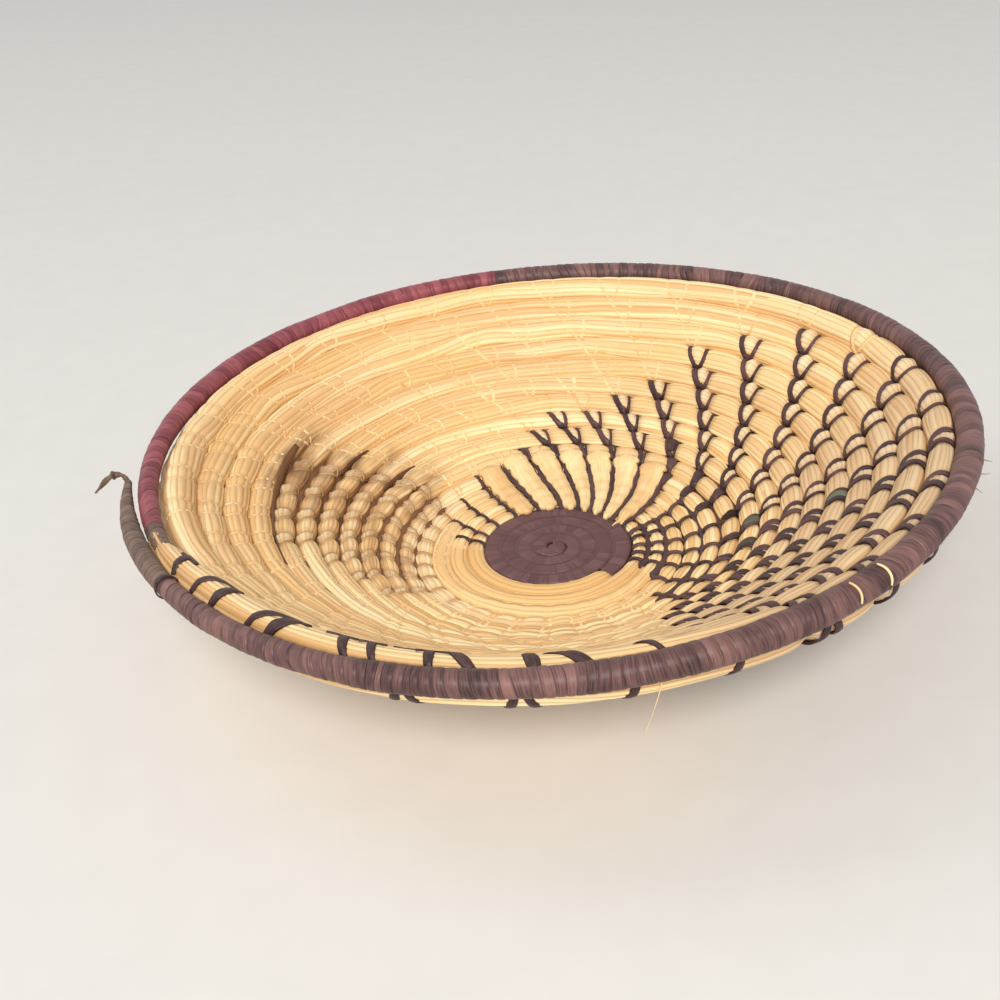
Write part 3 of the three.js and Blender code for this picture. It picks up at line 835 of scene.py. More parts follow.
def wrap_inset(turns):
    """How far the bundle sinks where it runs into the wraps."""
    return WRAP_INSET * np.maximum(1 - smooth(turns, *WRAP_INSET_END), smooth(turns, *WRAP_INSET_START))


def bundle_skin(shares, rises, twist):
    """The way round the bundle and the rise of each corner of each stalk, at each station."""
    starts = np.concatenate([np.zeros((len(twist), 1)), np.cumsum(shares, 1)[:, :-1]], 1)
    corner = np.arange(STALK_CORNERS) / STALK_CORNERS
    around = (starts[:, :, None] + shares[:, :, None] * corner) * 2 * np.pi + twist[:, None, None]
    bulge = 1 - np.abs(2 * corner - 1) ** 2.2
    wide = np.clip(shares[:, :, None] * STALKS, 0, 1.2)
    rise = rises[:, :, None] * (corner > 0) + STALK_CROWN * wide * bulge
    rise[:, :, 0] = np.minimum(rises, np.roll(rises, 1, 1)) * 0.6
    return around.reshape(len(twist), -1), rise.reshape(len(twist), -1)


def make_bundle(crossings):
    """The bare coil in pieces, with each stalk's skin pressed in and swollen by the stitches."""
    turns = bundle_turns()
    length = coil_length(turns)
    shares, rises, tones = stalk_shapes(turns, length)
    twist = wander(length, 170, 0.05, rng) + wander(length, 600, 0.5, rng)
    around, rise = bundle_skin(shares, rises, twist)
    count = STALKS * STALK_CORNERS

    station_degrees = wrapped(np.degrees(coil_angle(turns)))
    fingers = finger_share(station_degrees, coil_radius(turns))
    gold = gold_share(station_degrees, coil_radius(turns))
    dents, beads = (field.read(around) for field in stitch_fields(turns, length, crossings))
    rise = rise * (1 - 0.5 * np.maximum(fingers, gold))[:, None] * (1 - 0.7 * np.clip(dents, 0, 1))
    lift = rise - dents + 0.7 * beads - wrap_inset(turns)[:, None]
    press = press_at(turns)[:, None]
    points, _ = section_point(np.repeat(turns[:, None], count, 1), around, lift, press)
    points[..., 2] = np.maximum(points[..., 2], LOWEST_STRAW)

    degrees = wrapped(np.degrees(np.arctan2(points[..., 1], points[..., 0])))
    radius = np.hypot(points[..., 0], points[..., 1])
    tone = np.repeat(tones, STALK_CORNERS, 1)
    # How near the section's sides are, where turns meet: it places painted shade along the seams between
    # rows, and steers where the stain lies
    edge = smooth(np.abs(np.cos(around)), 0.74, 0.97)
    # The seams between rows in the dark region get darker: partly the dark strip that passes along them,
    # partly painted shade
    seam = dark_share(degrees, radius) * (1 - smooth(radius, *SEAM_OUTER_EDGE)) * (1 - fingers)[:, None]
    marks = {
        "tone": tone,
        # 1 at the crease between two stalks, where the straw gets painted shade
        "groove_shade": np.tile([1.0] + [0.0] * (STALK_CORNERS - 1), (len(turns), STALKS)),
        "dent": dents,
        # Where the bundle swells between a stitch's legs it gets a painted highlight; the row of pale beads
        # left of the centre is paler straw
        "bead": beads + 0.8 * bead_row_share(degrees, radius) * (1 - np.clip(dents, 0, 1)),
        "stain": stain_share(degrees, radius),
        "dyed": dyed_share(degrees, radius),
        "seam": edge * seam,
        "edge": edge * (1 - 0.7 * fingers)[:, None],
        "gold": gold[:, None] + 0 * around,
        "dull": window(degrees, *DULL_ANGLES) * smooth(radius, *DULL_RADII),
        "place": np.stack([length[:, None] + 0 * around, around * BUNDLE_REACH, tone * 40], -1),
    }
    made = []
    for name, start, end in BUNDLE_PIECES:
        first = int(np.searchsorted(turns, start - 1e-6))
        last = min(int(np.searchsorted(turns, end - 1e-6)) + 1, len(turns))
        cut = {key: value[first:last] for key, value in marks.items()}
        faces, uv = grid_faces(last - first, count), grid_uv(last - first, count, BUNDLE_BANDS)
        made.append(mesh_object(name, points[first:last], faces, cut, uv))
    return made


# Stitches as strips

LEG_STEPS = np.linspace(0.04, 0.96, 15)
COVER_STEPS = np.linspace(0.36, 0.97, len(LEG_STEPS))
JOIN_STEPS = np.array([0.74, 0.86, 0.95])
JOIN_WIDTHS = np.array([1.7, 3.0, 4.4, 4.9, 4.6, 3.6, 1.8])
STITCH_THICKNESS = 0.45

# Beads that are covered by dark strip, at angle and radius, each with a share of green
COVERED_BEADS = [
    (1, 68, 0), (13, 68, 0), (26.5, 68, 0), (40.5, 68, 0), (44, 76, 0), (20, 62, 0), (7, 64, 0),
    (-8, 66, 0), (-20, 71, 0), (36, 62, 0), (-22.5, 72.6, 1), (-17.5, 100.7, 1), (-10.5, 70.7, 1),
]


def leg_widths(crossing, share, steps):
    """A dark or brown leg is broad near the V's point and thin at its end."""
    shaped = 0.72 + 0.4 * np.exp(-(((steps - 0.14) / 0.2) ** 2)) - 0.28 * smooth(steps, 0.7, 1)
    shaped = shaped * mix(1 - 0.5 * share, 1, max(crossing.front, crossing.grid))
    plain = 0.8 + 0.2 * np.sin(np.pi * steps)
    return crossing.width() * mix(plain, shaped, crossing.dark)


def leg_strips(crossing):
    """The strips of a stitch's legs on the coil's inner and outer face."""
    for side in (1, -1):
        if side < 0 and crossing.top_row and crossing.degrees < BARE_OUTSIDE_UP_TO:
            continue
        for share in crossing.legs():
            width = leg_widths(crossing, share, LEG_STEPS) * rng.uniform(0.85, 1.15)
            turns = crossing.leg(share, LEG_STEPS)
            around = around_at(side, LEG_STEPS)
            path, normal = section_point(turns, around, crossing.raised(), press_at(turns))
            yield path, normal, width


def join_strip(lower, upper):
    """The knot-like spot where a column passes the seam between two turns."""
    ends = []
    for crossing, steps in ((lower, JOIN_STEPS), (upper, 1 - JOIN_STEPS[::-1])):
        turns = crossing.leg(0.0, steps)
        ends.append(section_point(turns, around_at(1, steps), 1.0 - crossing.depth(), press_at(turns)))
    (lower_path, lower_normal), (upper_path, upper_normal) = ends
    between = lower_normal[-1] + upper_normal[0]
    between /= np.linalg.norm(between)
    middle = (lower_path[-1] + upper_path[0]) / 2 + 0.25 * between
    knots = np.arange(len(JOIN_WIDTHS))
    rows = np.linspace(0, knots[-1], len(LEG_STEPS))
    path = spread_out(rows, knots, np.concatenate([lower_path, [middle], upper_path]))
    normal = spread_out(rows, knots, np.concatenate([lower_normal, [between], upper_normal]))
    width = np.interp(rows, knots, JOIN_WIDTHS) * size_share(upper.radius) * rng.uniform(0.8, 1.1)
    return path, normal, width


def spread_out(rows, knots, points):
    """Points at more rows, along the straight lines between the points at the knots."""
    return np.stack([np.interp(rows, knots, points[:, i]) for i in range(3)], -1)


def cover_strip(crossing):
    """A broad strip that covers the bead between a stitch's legs."""
    turns = crossing.leg(0.5, COVER_STEPS)
    width = 4.4 * np.sin(np.pi * np.linspace(0.12, 0.88, len(COVER_STEPS))) ** 0.5
    lift = 0.3 - 0.3 * crossing.depth()
    path, normal = section_point(turns, around_at(1, COVER_STEPS), lift, press_at(turns))
    return path, normal, width


def covered_stitches(crossings):
    """For each covered bead, the nearest stitch and the green in the strip that covers it."""
    found = []
    for degrees, radius, green in COVERED_BEADS:
        def distance(crossing):
            turned = math.radians(crossing.degrees - degrees)
            return math.hypot(crossing.radius - radius, radius * turned)
        found.append((min(crossings, key=distance), green))
    return found


def make_column(column, crossings, covered):
    """One column's strips: the legs of its stitches, the joins at the seams and what covers beads."""
    strands, marks = StripSet(), []

    def add(crossing, strip, covers=False, green=0.0):
        path, normal, width = strip
        path[:, 2] = np.maximum(path[:, 2], LOWEST_STRIP)
        strands.add(path, normal, width)
        is_dark = float(covers or crossing.dark > 0.45)
        marks.append((is_dark, 0.55 * crossing.brown, green, rng.uniform(-1, 1)))

    own = [crossing for crossing in crossings if crossing.column == column]
    for crossing in own:
        if not (crossing.hidden or crossing.fingers):
            for strip in leg_strips(crossing):
                add(crossing, strip)
    for lower, upper in zip(own[:-1], own[1:]):
        marked = min(lower.dark, upper.dark) > 0.4
        if marked and not (upper.hidden or lower.fingers):
            add(upper, join_strip(lower, upper))
    for crossing, green in covered:
        if crossing.column == column:
            add(crossing, cover_strip(crossing), True, green)
    dark, brown, green, tone = np.array(marks).T
    shades = {"dark": dark, "brown": brown, "green": green, "tone": tone}
    return strands.make(f"stitches_{column + 1:02d}", STITCH_THICKNESS, shades)


def make_stitches(crossings):
    covered = covered_stitches(crossings)
    return [make_column(column, crossings, covered) for column in range(COLUMNS)]


# Strands along the seams of the grid, and the long strands that lie over the floor behind the centre

SEAM_ROWS = 121
SEAM_STRAND_THICKNESS = 0.34
SEAM_COLUMN_REACH = 2.4
DARK_SEAM_FRONT = (-85, -28, 6)
DARK_SEAM_END = (88, 104)
DARK_SEAM_FRONT_END = (112, 126)
BROWN_SEAM_BROADENS = (92, 104)
BROWN_SEAM_END = (110, 112)
BROWN_SEAM_LAST_RADIUS = 106

FINGER_ROWS = 49
FINGER_RADII = (26.0, 68.0)
FINGER_COLUMNS = range(-1, 12)
FINGER_SEED = 12
FINGER_INNER_END = (25.5, 29.5)

PROFILE_TURNS = np.linspace(3, 16, 400)
PROFILE_RADII = spiral_radius(PROFILE_TURNS)


def seam_point(turns):
    """Points on the seam between a turn and the next, and the way out that both share."""
    inner, first = section_point(turns, np.pi * 0.02 + 0 * turns, 0 * turns, press_at(turns))
    outer, second = section_point(turns + 1, np.pi * 0.98 + 0 * turns, 0 * turns, press_at(turns + 1))
    normal = first + second
    normal /= np.linalg.norm(normal, axis=-1, keepdims=True)
    return (inner + outer) / 2, normal


def near_column(degrees, radius, reach):
    """1 where a column crosses the radius, falling to 0 at a few millimetres from it."""
    nearest = np.full(np.shape(degrees), np.inf)
    for column in range(COLUMNS):
        away = np.degrees(column_angle(column, radius)) - degrees
        away = np.abs(np.mod(away + 180, 360) - 180)
        nearest = np.minimum(nearest, np.radians(away) * radius)
    return np.exp(-((nearest / reach) ** 2))


def seam_strands(name, wholes, first, last, brown, shape):
    """Strands in the seams outside some turns. shape gives how far each shows, its width and height."""
    rows = np.linspace(0, 1, SEAM_ROWS)
    strands = StripSet()
    for whole in wholes:
        degrees = mix(first, last, rows)
        turns = turn_at(whole, degrees)
        radius = (coil_radius(turns) + coil_radius(turns + 1)) / 2
        shown, width, height = shape(degrees, radius)
        path, normal = seam_point(turns)
        sway = wander(np.arange(float(SEAM_ROWS)), 9, 0.18, rng)
        path = path + normal * (height - 3.0 * (1 - shown))[:, None]
        strands.add(path, normal, (width + sway) * np.clip(shown, 0.1, 1))
    tone = rng.uniform(-1, 0.5, len(wholes))
    return strands.make(name, SEAM_STRAND_THICKNESS, strip_shades(tone, 1 - brown, brown))


# Dark strands in the seams of the dark region: partly the dark strip that passes along the seams, partly
# painted shade
def dark_seam_strip_and_shade(degrees, radius):
    front = window(degrees, *DARK_SEAM_FRONT)
    outer_end = mix(1 - smooth(radius, *DARK_SEAM_END), 1 - smooth(radius, *DARK_SEAM_FRONT_END), front)
    shown = dark_share(degrees, radius) * (1 - finger_share(degrees, radius)) * outer_end
    grid = grid_share(degrees, radius)
    near = near_column(degrees, radius, SEAM_COLUMN_REACH)
    width = mix(1.4, 2.4, grid) + mix(1.8, 1.0, grid) * near + 0.8 * front
    return shown, width, mix(0.8, 1.6, grid) + 0.2 * near + mix(1.7, 1.1, grid) * front


def brown_seam(degrees, radius):
    outer = smooth(radius, *BROWN_SEAM_BROADENS)
    near = near_column(degrees, radius, SEAM_COLUMN_REACH)
    shown = brown_share(degrees, np.minimum(radius, BROWN_SEAM_LAST_RADIUS))
    shown = shown * (1 - smooth(radius, *BROWN_SEAM_END))
    return shown, 2.3 + 2.2 * outer + 0.6 * near, 1.7 + 1.1 * outer + 0.2 * near


def face_point(angle, radius, lift):
    """Points over the bowl's inner face at an angle and a radius."""
    turns = np.interp(radius, PROFILE_RADII, PROFILE_TURNS)
    centre, _, inward = coil_frame(turns)
    _, height, _ = halves(turns)
    spin = angle - coil_angle(turns)

    def turned(v):
        x = v[..., 0] * np.cos(spin) - v[..., 1] * np.sin(spin)
        y = v[..., 0] * np.sin(spin) + v[..., 1] * np.cos(spin)
        return np.stack([x, y, v[..., 2]], -1)

    return turned(centre + inward * (height + lift)[..., None]), turned(inward)


def make_finger_strands():
    """Dark lines that follow the columns, and the long pale strands between them."""
    radius = mix(*FINGER_RADII, np.linspace(0, 1, FINGER_ROWS))
    turns = np.interp(radius, PROFILE_RADII, PROFILE_TURNS)
    inner_end = smooth(radius, *FINGER_INNER_END)
    generator = np.random.default_rng(FINGER_SEED)
    lines, pads = StripSet(), StripSet()
    for column in FINGER_COLUMNS:
        angle = column_angle(column % COLUMNS, radius)
        degrees = wrapped(np.degrees(angle))
        dark = dark_share(degrees, radius)
        shown = finger_share(degrees, radius) * dark
        if shown.max() < 0.6:
            continue
        sway = wander(radius, 7, 0.35, generator) / radius
        row_wave = np.cos(2 * np.pi * (turns + angle / (2 * np.pi)))
        path, normal = face_point(angle + sway, radius, 0.35 + 0.15 * row_wave - 1.5 * (1 - shown))
        width = 2.2 - 0.5 * row_wave + wander(radius, 5, 0.35, generator)
        lines.add(path, normal, width * np.clip(shown, 0.15, 1))
        following = column_angle((column + 1) % COLUMNS, radius)
        gap = np.mod(following - angle + np.pi, 2 * np.pi) - np.pi
        covered = region(degrees, radius, FINGER_PADS) * dark
        sunk = 1.6 * (1 - np.clip(2.0 * covered, 0, 1))
        path, normal = face_point(angle + gap / 2, radius, 0.1 - 0.3 * row_wave - sunk)
        width = (gap * radius - 1.0) * (0.93 + 0.07 * row_wave) * (0.35 + 0.65 * inner_end)
        pads.add(path, normal, np.maximum(width * np.clip(2.2 * covered, 0.3, 1), 0.6))
    made = []
    for name, strands, dark, thickness in (
        ("finger_lines", lines, 1.0, 0.45), ("finger_strands", pads, 0.0, 1.25),
    ):
        tone = generator.uniform(-0.7, 0.8, len(strands.paths))
        made.append(strands.make(name, thickness, strip_shades(tone, dark)))
    return made


# Strips on courses of their own: the width, the whole turns of the course's places, and each place's
# angle in degrees and its step up the inner face, or with 1 to 2 steps on down the outer face

COURSE_ROWS = 25
COURSE_THICKNESS = 0.4

# Over the last bare row and the rim's edge at the front
RIM_STRIPS = [
    (3.2, 20, [(211.4, 1.0), (210.9, 0.8), (209.9, 0.5), (208.2, 0.2)]),
    (2.8, 20, [(216.6, 1.0), (217.2, 0.78), (218.2, 0.56), (220.0, 0.46), (223.0, 0.5)]),
    (3.8, 20, [(221.0, 1.0), (221.4, 0.82), (221.9, 0.6), (222.4, 0.42)]),
    (2.9, 20, [(227.8, 1.0), (228.8, 0.78), (230.4, 0.58), (232.6, 0.48), (235.8, 0.54)]),
    (4.4, 20, [(231.2, 1.0), (232.0, 0.82), (233.0, 0.64), (234.0, 0.5)]),
    (3.0, 20, [(242.6, 1.0), (241.6, 0.76), (240.8, 0.54), (239.8, 0.34)]),
    (2.6, 20, [(246.2, 1.0), (245.4, 0.78), (244.6, 0.54), (243.8, 0.34)]),
    (3.0, 20, [(252.6, 1.0), (252.3, 0.76), (251.9, 0.54), (251.5, 0.32)]),
    (3.2, 20, [(258.2, 1.0), (256.8, 0.8), (255.4, 0.6), (254.0, 0.42)]),
    (4.0, 20, [(264.6, 1.0), (264.2, 0.78), (263.6, 0.54), (263.0, 0.32)]),
    (3.6, 20, [(271.4, 1.0), (269.8, 0.8), (267.8, 0.56), (265.4, 0.38)]),
    (2.0, 20, [(279.4, 1.0), (278.4, 0.76), (277.2, 0.54), (276.0, 0.34)]),
    (2.4, 20, [(208.4, 0.52), (209.8, 0.5), (211.2, 0.5), (212.8, 0.54)]),
    (2.3, 20, [(238.2, 0.52), (239.8, 0.48), (241.4, 0.48), (242.6, 0.52)]),
    (2.3, 20, [(242.8, 0.54), (243.9, 0.48), (245.2, 0.48), (246.4, 0.52)]),
    (2.0, 20, [(250.2, 0.54), (251.4, 0.47), (252.8, 0.47), (254.4, 0.52)]),
    (1.6, 20, [(247.0, 0.44), (248.0, 0.4), (249.0, 0.4), (250.0, 0.44)]),
    (1.3, 20, [(248.5, 0.36), (253.0, 0.34), (258.0, 0.36), (264.5, 0.35)]),
    (1.3, 20, [(279.0, 0.35), (282.0, 0.36), (285.0, 0.34), (288.0, 0.35)]),
]

# On the outer face below the rim at the front
OUTER_STRIPS = [
    (3.0, 20, [(247.0, 1.98), (247.8, 1.7), (248.6, 1.4), (249.4, 1.06)]),
    (2.8, 20, [(251.8, 1.98), (251.4, 1.7), (250.8, 1.4), (249.6, 1.06)]),
    (3.0, 20, [(260.0, 1.98), (260.8, 1.7), (261.6, 1.4), (262.4, 1.06)]),
    (2.8, 20, [(265.0, 1.98), (264.6, 1.7), (264.0, 1.4), (262.8, 1.06)]),
    (3.0, 20, [(273.0, 1.98), (273.8, 1.7), (274.6, 1.4), (275.4, 1.06)]),
    (3.0, 20, [(285.0, 1.98), (285.8, 1.7), (286.6, 1.4), (287.4, 1.06)]),
    (3.4, 20, [(296.5, 1.98), (297.3, 1.7), (298.1, 1.4), (298.9, 1.06)]),
    (3.4, 20, [(301.5, 1.98), (301.2, 1.7), (300.6, 1.4), (299.8, 1.06)]),
    (3.4, 20, [(308.5, 1.98), (309.3, 1.7), (310.1, 1.4), (310.9, 1.06)]),
    (3.4, 20, [(318.5, 1.98), (319.3, 1.7), (320.1, 1.4), (320.9, 1.06)]),
]

# In the brown patch, along its rows
BROWN_STRIPS = [
    (3.8, 16, [(154.5, 0.4), (160.0, 0.36), (168.0, 0.3), (178.0, 0.24), (189.0, 0.26)]),
    (2.6, 16, [(188.0, 0.24), (191.0, 0.22), (195.0, 0.22), (200.0, 0.24)]),
    (2.4, 15, [(196.0, 0.2), (197.5, 0.2), (199.0, 0.2)]),
    (2.4, 15, [(208.0, 0.2), (209.5, 0.2), (211.5, 0.2)]),
    (3.0, 14, [(140.0, 0.2), (144.0, 0.22), (148.0, 0.22), (152.0, 0.2)]),
    (3.0, 12, [(133.0, 0.2), (138.0, 0.22), (143.0, 0.22), (148.0, 0.2)]),
]


def make_course_strips(name, courses, lift, brown=0.0):
    rows = np.linspace(0, 1, COURSE_ROWS)
    strands = StripSet()
    for width, whole, course in courses:
        degrees, steps = np.array(course).T
        knots = np.linspace(0, 1, len(course))
        turns = turn_at(whole, smooth_through(rows, knots, degrees))
        around = around_at(1, smooth_through(rows, knots, steps))
        path, normal = section_point(turns, around, lift, press_at(turns))
        pointed = 1 - 0.35 * np.abs(2 * rows - 1) ** 4
        strands.add(path, normal, width * pointed * (1 + 0.08 * np.sin(9 * rows + width)))
    tone = rng.uniform(-1, 0, len(courses))
    return strands.make(name, COURSE_THICKNESS, strip_shades(tone, 1 - brown, brown))


def smooth_through(places, knots, values):
    """A smooth curve through values at knots (Catmull-Rom)."""
    values = np.asarray(values, float)
    padded = np.concatenate([[2 * values[0] - values[1]], values, [2 * values[-1] - values[-2]]])
    at = np.interp(places, knots, np.arange(len(knots)))
    i = np.clip(np.floor(at).astype(int), 0, len(knots) - 2)
    f = at - i
    a, b, c, d = padded[i], padded[i + 1], padded[i + 2], padded[i + 3]
    return 0.5 * (2 * b + (c - a) * f + (2 * a - 5 * b + 4 * c - d) * f**2 + (3 * b - a - 3 * c + d) * f**3)


# Strip wound round the coil

# Across one winding: the share of its width, its rise over the one before and how dark its edge is, the dark
# being painted shade in the gap where it laps the next
LAP_SHARES = np.array([-0.06, 0.03, 0.15, 0.42, 0.74, 0.95, 1.05])
LAP_RISES = np.array([-0.6, 0.45, 0.85, 1.0, 0.8, 0.35, -0.6])
LAP_SHADES = np.array([1.0, 0.7, 0.1, 0.0, 0.05, 0.5, 1.0])
WRAP_DEPTH = 0.42
CENTRE_SEAM_DEPTH = 1.0
CENTRE_SEAM_WIDTH = 3.4
CENTRE_SEAM_THICKNESS = 0.5


def make_wrap(name, start, end, strip_width, ridge, seed, corners=28, press=ROUND_PRESS, slant=0.3):
    """A strip wound round the coil from one turn to another, each winding lapping the one before."""
    generator = np.random.default_rng(seed)
    turns = np.linspace(start, end, 4000)
    length = coil_length(turns)
    count = max(2, int(round(length[-1] / strip_width)))
    widths = np.clip(generator.normal(1, 0.24, count), 0.45, 1.8)
    edges = np.concatenate([[0], np.cumsum(widths)]) / widths.sum() * length[-1]
    winding = np.arange(-corners, count * corners + 1) / corners

    def edge_at(winding):
        straight = np.interp(winding, np.arange(count + 1), edges)
        sway = wander(winding + 1, 5.0, slant * strip_width, np.random.default_rng(seed + 50))
        free = np.clip(np.minimum(straight, length[-1] - straight) / 6, 0, 1)
        return straight + sway * free * np.cos(2 * np.pi * winding + 0.37 * winding)

    def by_winding(values):
        return np.interp(winding, np.arange(-1, count + 1), values)[:, None]

    at = mix(edge_at(winding)[:, None], edge_at(winding + 1)[:, None], LAP_SHARES)
    at = np.clip(at, 0, length[-1])
    strength = by_winding(generator.uniform(0.5, 1.5, count + 2))
    tone = by_winding(np.clip(generator.normal(0, 0.55, count + 2), -1, 1))
    shade = by_winding(generator.uniform(0.15, 1.0, count + 2) ** 1.5)
    lift = ridge * strength * LAP_RISES - WRAP_DEPTH
    lift = lift + np.interp(at, length, wander(length, 16, 0.07, generator))
    around = (2 * np.pi * winding + 0.8)[:, None] + 0 * at
    points, _ = section_point(np.interp(at, length, turns), around, lift, press, WRAPPED_CURVE)
    points[..., 2] = np.maximum(points[..., 2], LOWEST_STRAW)
    marks = {
        "tone": tone + 0 * at,
        # Painted shade at the edges of each winding, stronger on some windings than on others
        "groove_shade": shade * LAP_SHADES,
        "place": np.stack([around * WRAP_REACH, LAP_SHARES * strip_width + 0 * at, 0 * at], -1),
    }
    rows, columns = at.shape
    faces = grid_faces(rows, columns, closed=False, flip=True)
    uv = grid_uv(rows, columns, WRAP_BANDS, closed=False, flip=True)
    return mesh_object(name, points, faces, marks, uv)


def make_coil_tip():
    """The coil's tip, which lies over the axis: a low dome that fills the middle of the first turn."""
    rings, corners = 10, 32
    share = np.linspace(1, 0.02, rings)[:, None]
    around = np.linspace(0, 2 * np.pi, corners, endpoint=False)[None, :]
    reach = 2.6 * share
    x, y = reach * np.cos(around), reach * 0.9 * np.sin(around)
    z = 2.6 + 2.9 * np.sqrt(np.clip(1 - share**2 * 0.75, 0, 1)) + 0 * around
    points = np.stack([x, y, z], -1)
    marks = {"tone": 0 * x, "groove_shade": 0 * x, "place": np.stack([x, y, 0 * x], -1)}
    faces, uv = grid_faces(rings, corners), grid_uv(rings, corners, 1)
    return mesh_object("coil_tip", points, faces, marks, uv)


def make_centre_seams():
    """Strip that fills the seams between the wrapped turns, a little below their tops."""
    turns = np.linspace(0.75, CENTRE_WRAP_END - 1.05, 160)
    top, depth = np.pi / 2 + 0 * turns, 0 * turns - CENTRE_SEAM_DEPTH
    inner, first = section_point(turns, top, depth, CENTRE_PRESS, WRAPPED_CURVE)
    outer, second = section_point(turns + 1, top, depth, CENTRE_PRESS, WRAPPED_CURVE)
    normal = first + second
    normal /= np.linalg.norm(normal, axis=-1, keepdims=True)
    seams = StripSet()
    seams.add((inner + outer) / 2, normal, np.full(len(turns), CENTRE_SEAM_WIDTH))
    # A little painted shade darkens the strip down in the seams
    shades = {**strip_shades([-0.2], 1.0), "groove_shade": [0.35]}
    return seams.make("centre_seams", CENTRE_SEAM_THICKNESS, shades)


# Small things

# The loose end's places: shares of its length ahead of the tail's tip, and how far out and up in hooks
LOOSE_END_COURSE = [(0, 0, 0), (0.12, 0.5, 0.4), (0.08, 1.3, 0.4), (-0.3, 2.2, 0)]
LOOSE_END_LENGTH = 17.0
LOOSE_END_HOOK = 5.0
LOOSE_END_KNOT = 0.58
LOOSE_END_RIDGES = 0.3

RING_WIDTH = 1.5
RING_THICKNESS = 0.3

# The whole turns of places on the rim's outer half
RIM_WHOLE = 21

# Fibres that stand off the bowl: angle, way round the section, length, lean, droop and dark or pale
FIBRES = [
    (277.6, 4.4, 11.0, 0.9, -0.6, 0.0), (289.0, 3.6, 6.0, 2.2, 0.1, 0.0), (291.0, 3.5, 5.0, 1.4, 0.3, 0.0),
    (338, 5.4, 3.0, 0.6, 0.4, 1.0), (335, 5.2, 3.5, -0.5, 0.5, 1.0), (332, 5.0, 3.0, 0.4, 0.2, 1.0),
    (120, 0.5, 2.5, 0.8, 0.4, 0.0),
]
FIBRE_WIDTH = 0.36

# Pale ends of stalk that lie over the rim's wrap: angle, way round from and to, width
STRAY_STALKS = [(306.6, 0.95, -0.75, 0.9), (301.6, 0.85, -0.7, 0.8)]
STRAY_STALK_THICKNESS = 0.35


def make_loose_end():
    """The loose end of strip: a twisted twig with a small knot where it hooks back beside the tail."""
    centre, up_wall, _ = coil_frame(COIL_END)
    angle = float(coil_angle(COIL_END))
    ahead = np.array([math.sin(angle), -math.cos(angle), 0])
    outward = up_wall * [1, 1, 0]
    outward /= np.linalg.norm(outward)
    up = np.array([0, 0, 1])
    points = np.array([
        centre + ahead * (0.3 + forward * LOOSE_END_LENGTH) + (outward * out + up * rise) * LOOSE_END_HOOK
        for forward, out, rise in LOOSE_END_COURSE
    ])
    rows = np.linspace(0, 1, 60)
    knots = np.linspace(0, 1, len(points))
    path = np.stack([smooth_through(rows, knots, points[:, i]) for i in range(3)], -1)
    knot = np.exp(-(((rows - LOOSE_END_KNOT) / 0.05) ** 2))
    radii = 0.55 + 0.35 * np.sin(np.pi * rows) ** 0.5 + 0.75 * knot - 0.25 * smooth(rows, 0.85, 1)
    tone = -0.9 * knot + 0.3 * smooth(rows, 0.6, 0.8) - 0.4 * (1 - smooth(rows, 0.4, 0.6))
    return tube_object("tail_loose_strip", path, radii, 12, tone, LOOSE_END_RIDGES)


def make_ring_strand():
    """The black strand tied round the coil where the tail's wrap meets the dark one."""
    around = np.linspace(0, 2 * np.pi, 49)
    turns = TAIL_WRAP_START - 0.0016 + 0.0006 * np.sin(around + 1)
    ring = StripSet()
    path, normal = section_point(turns, around, 0.08, ROUND_PRESS, WRAPPED_CURVE)
    ring.add(path, normal, np.full(len(around), RING_WIDTH))
    return ring.make("ring_strand", RING_THICKNESS, strip_shades([-1.0], 1.0))


def make_fibres():
    """Loose fibres, each bending down as it grows away from the coil."""
    rows = np.linspace(0, 1, 14)
    fibres = StripSet()
    for degrees, around, length, lean, droop, _ in FIBRES:
        turn = np.array([turn_at(RIM_WHOLE, degrees)])
        start, normal = section_point(turn, np.array([around]), -0.5, ROUND_PRESS, WRAPPED_CURVE)
        angle = math.radians(degrees)
        along = np.array([math.sin(angle), -math.cos(angle), 0])
        grow = rows[:, None] * length
        path = start[0] + normal[0] * grow + along * lean * grow * (0.4 + 0.3 * rows[:, None])
        path = path + np.array([0, 0, 1]) * droop * grow * rows[:, None] * 0.6
        fibres.add(path, np.tile([[0.2, 0.3, 0.93]], (len(rows), 1)), FIBRE_WIDTH * (1 - 0.75 * rows))
    shades = {**strip_shades(rng.uniform(0, 1, len(FIBRES))), "dark": [fibre[-1] for fibre in FIBRES]}
    return fibres.make("loose_fibres", np.array(fibres.widths) / 2, shades)


def make_stray_stalks():
    """Two split ends of pale stalk that came up between the windings."""
    rows = np.linspace(0, 1, 15)
    stalks = StripSet()
    for degrees, first, last, width in STRAY_STALKS:
        turn = turn_at(RIM_WHOLE, degrees + 0.3 * np.sin(3 * rows))
        path, normal = section_point(turn, mix(first, last, rows), 0.12, ROUND_PRESS, WRAPPED_CURVE)
        stalks.add(path, normal, width * (1 - 0.5 * np.abs(2 * rows - 1) ** 3))
    tone = np.full(len(STRAY_STALKS), 0.8)
    return stalks.make("stray_stalks", STRAY_STALK_THICKNESS, strip_shades(tone))


# Shader maths

class Value:
    """A socket whose arithmetic adds Math nodes."""

    def __init__(self, finish, socket):
        self.finish = finish
        self.socket = socket

    def math(self, operation, *others):
        return self.finish.node("ShaderNodeMath", {"operation": operation}, dict(enumerate((self, *others))))

    def __add__(self, other):
        return self.math("ADD", other)

    __radd__ = __add__

    def __sub__(self, other):
        return self.math("SUBTRACT", other)

    def __rsub__(self, other):
        return self.finish.node("ShaderNodeMath", {"operation": "SUBTRACT"}, {0: other, 1: self})

    def __mul__(self, other):
        return self.math("MULTIPLY", other)

    __rmul__ = __mul__


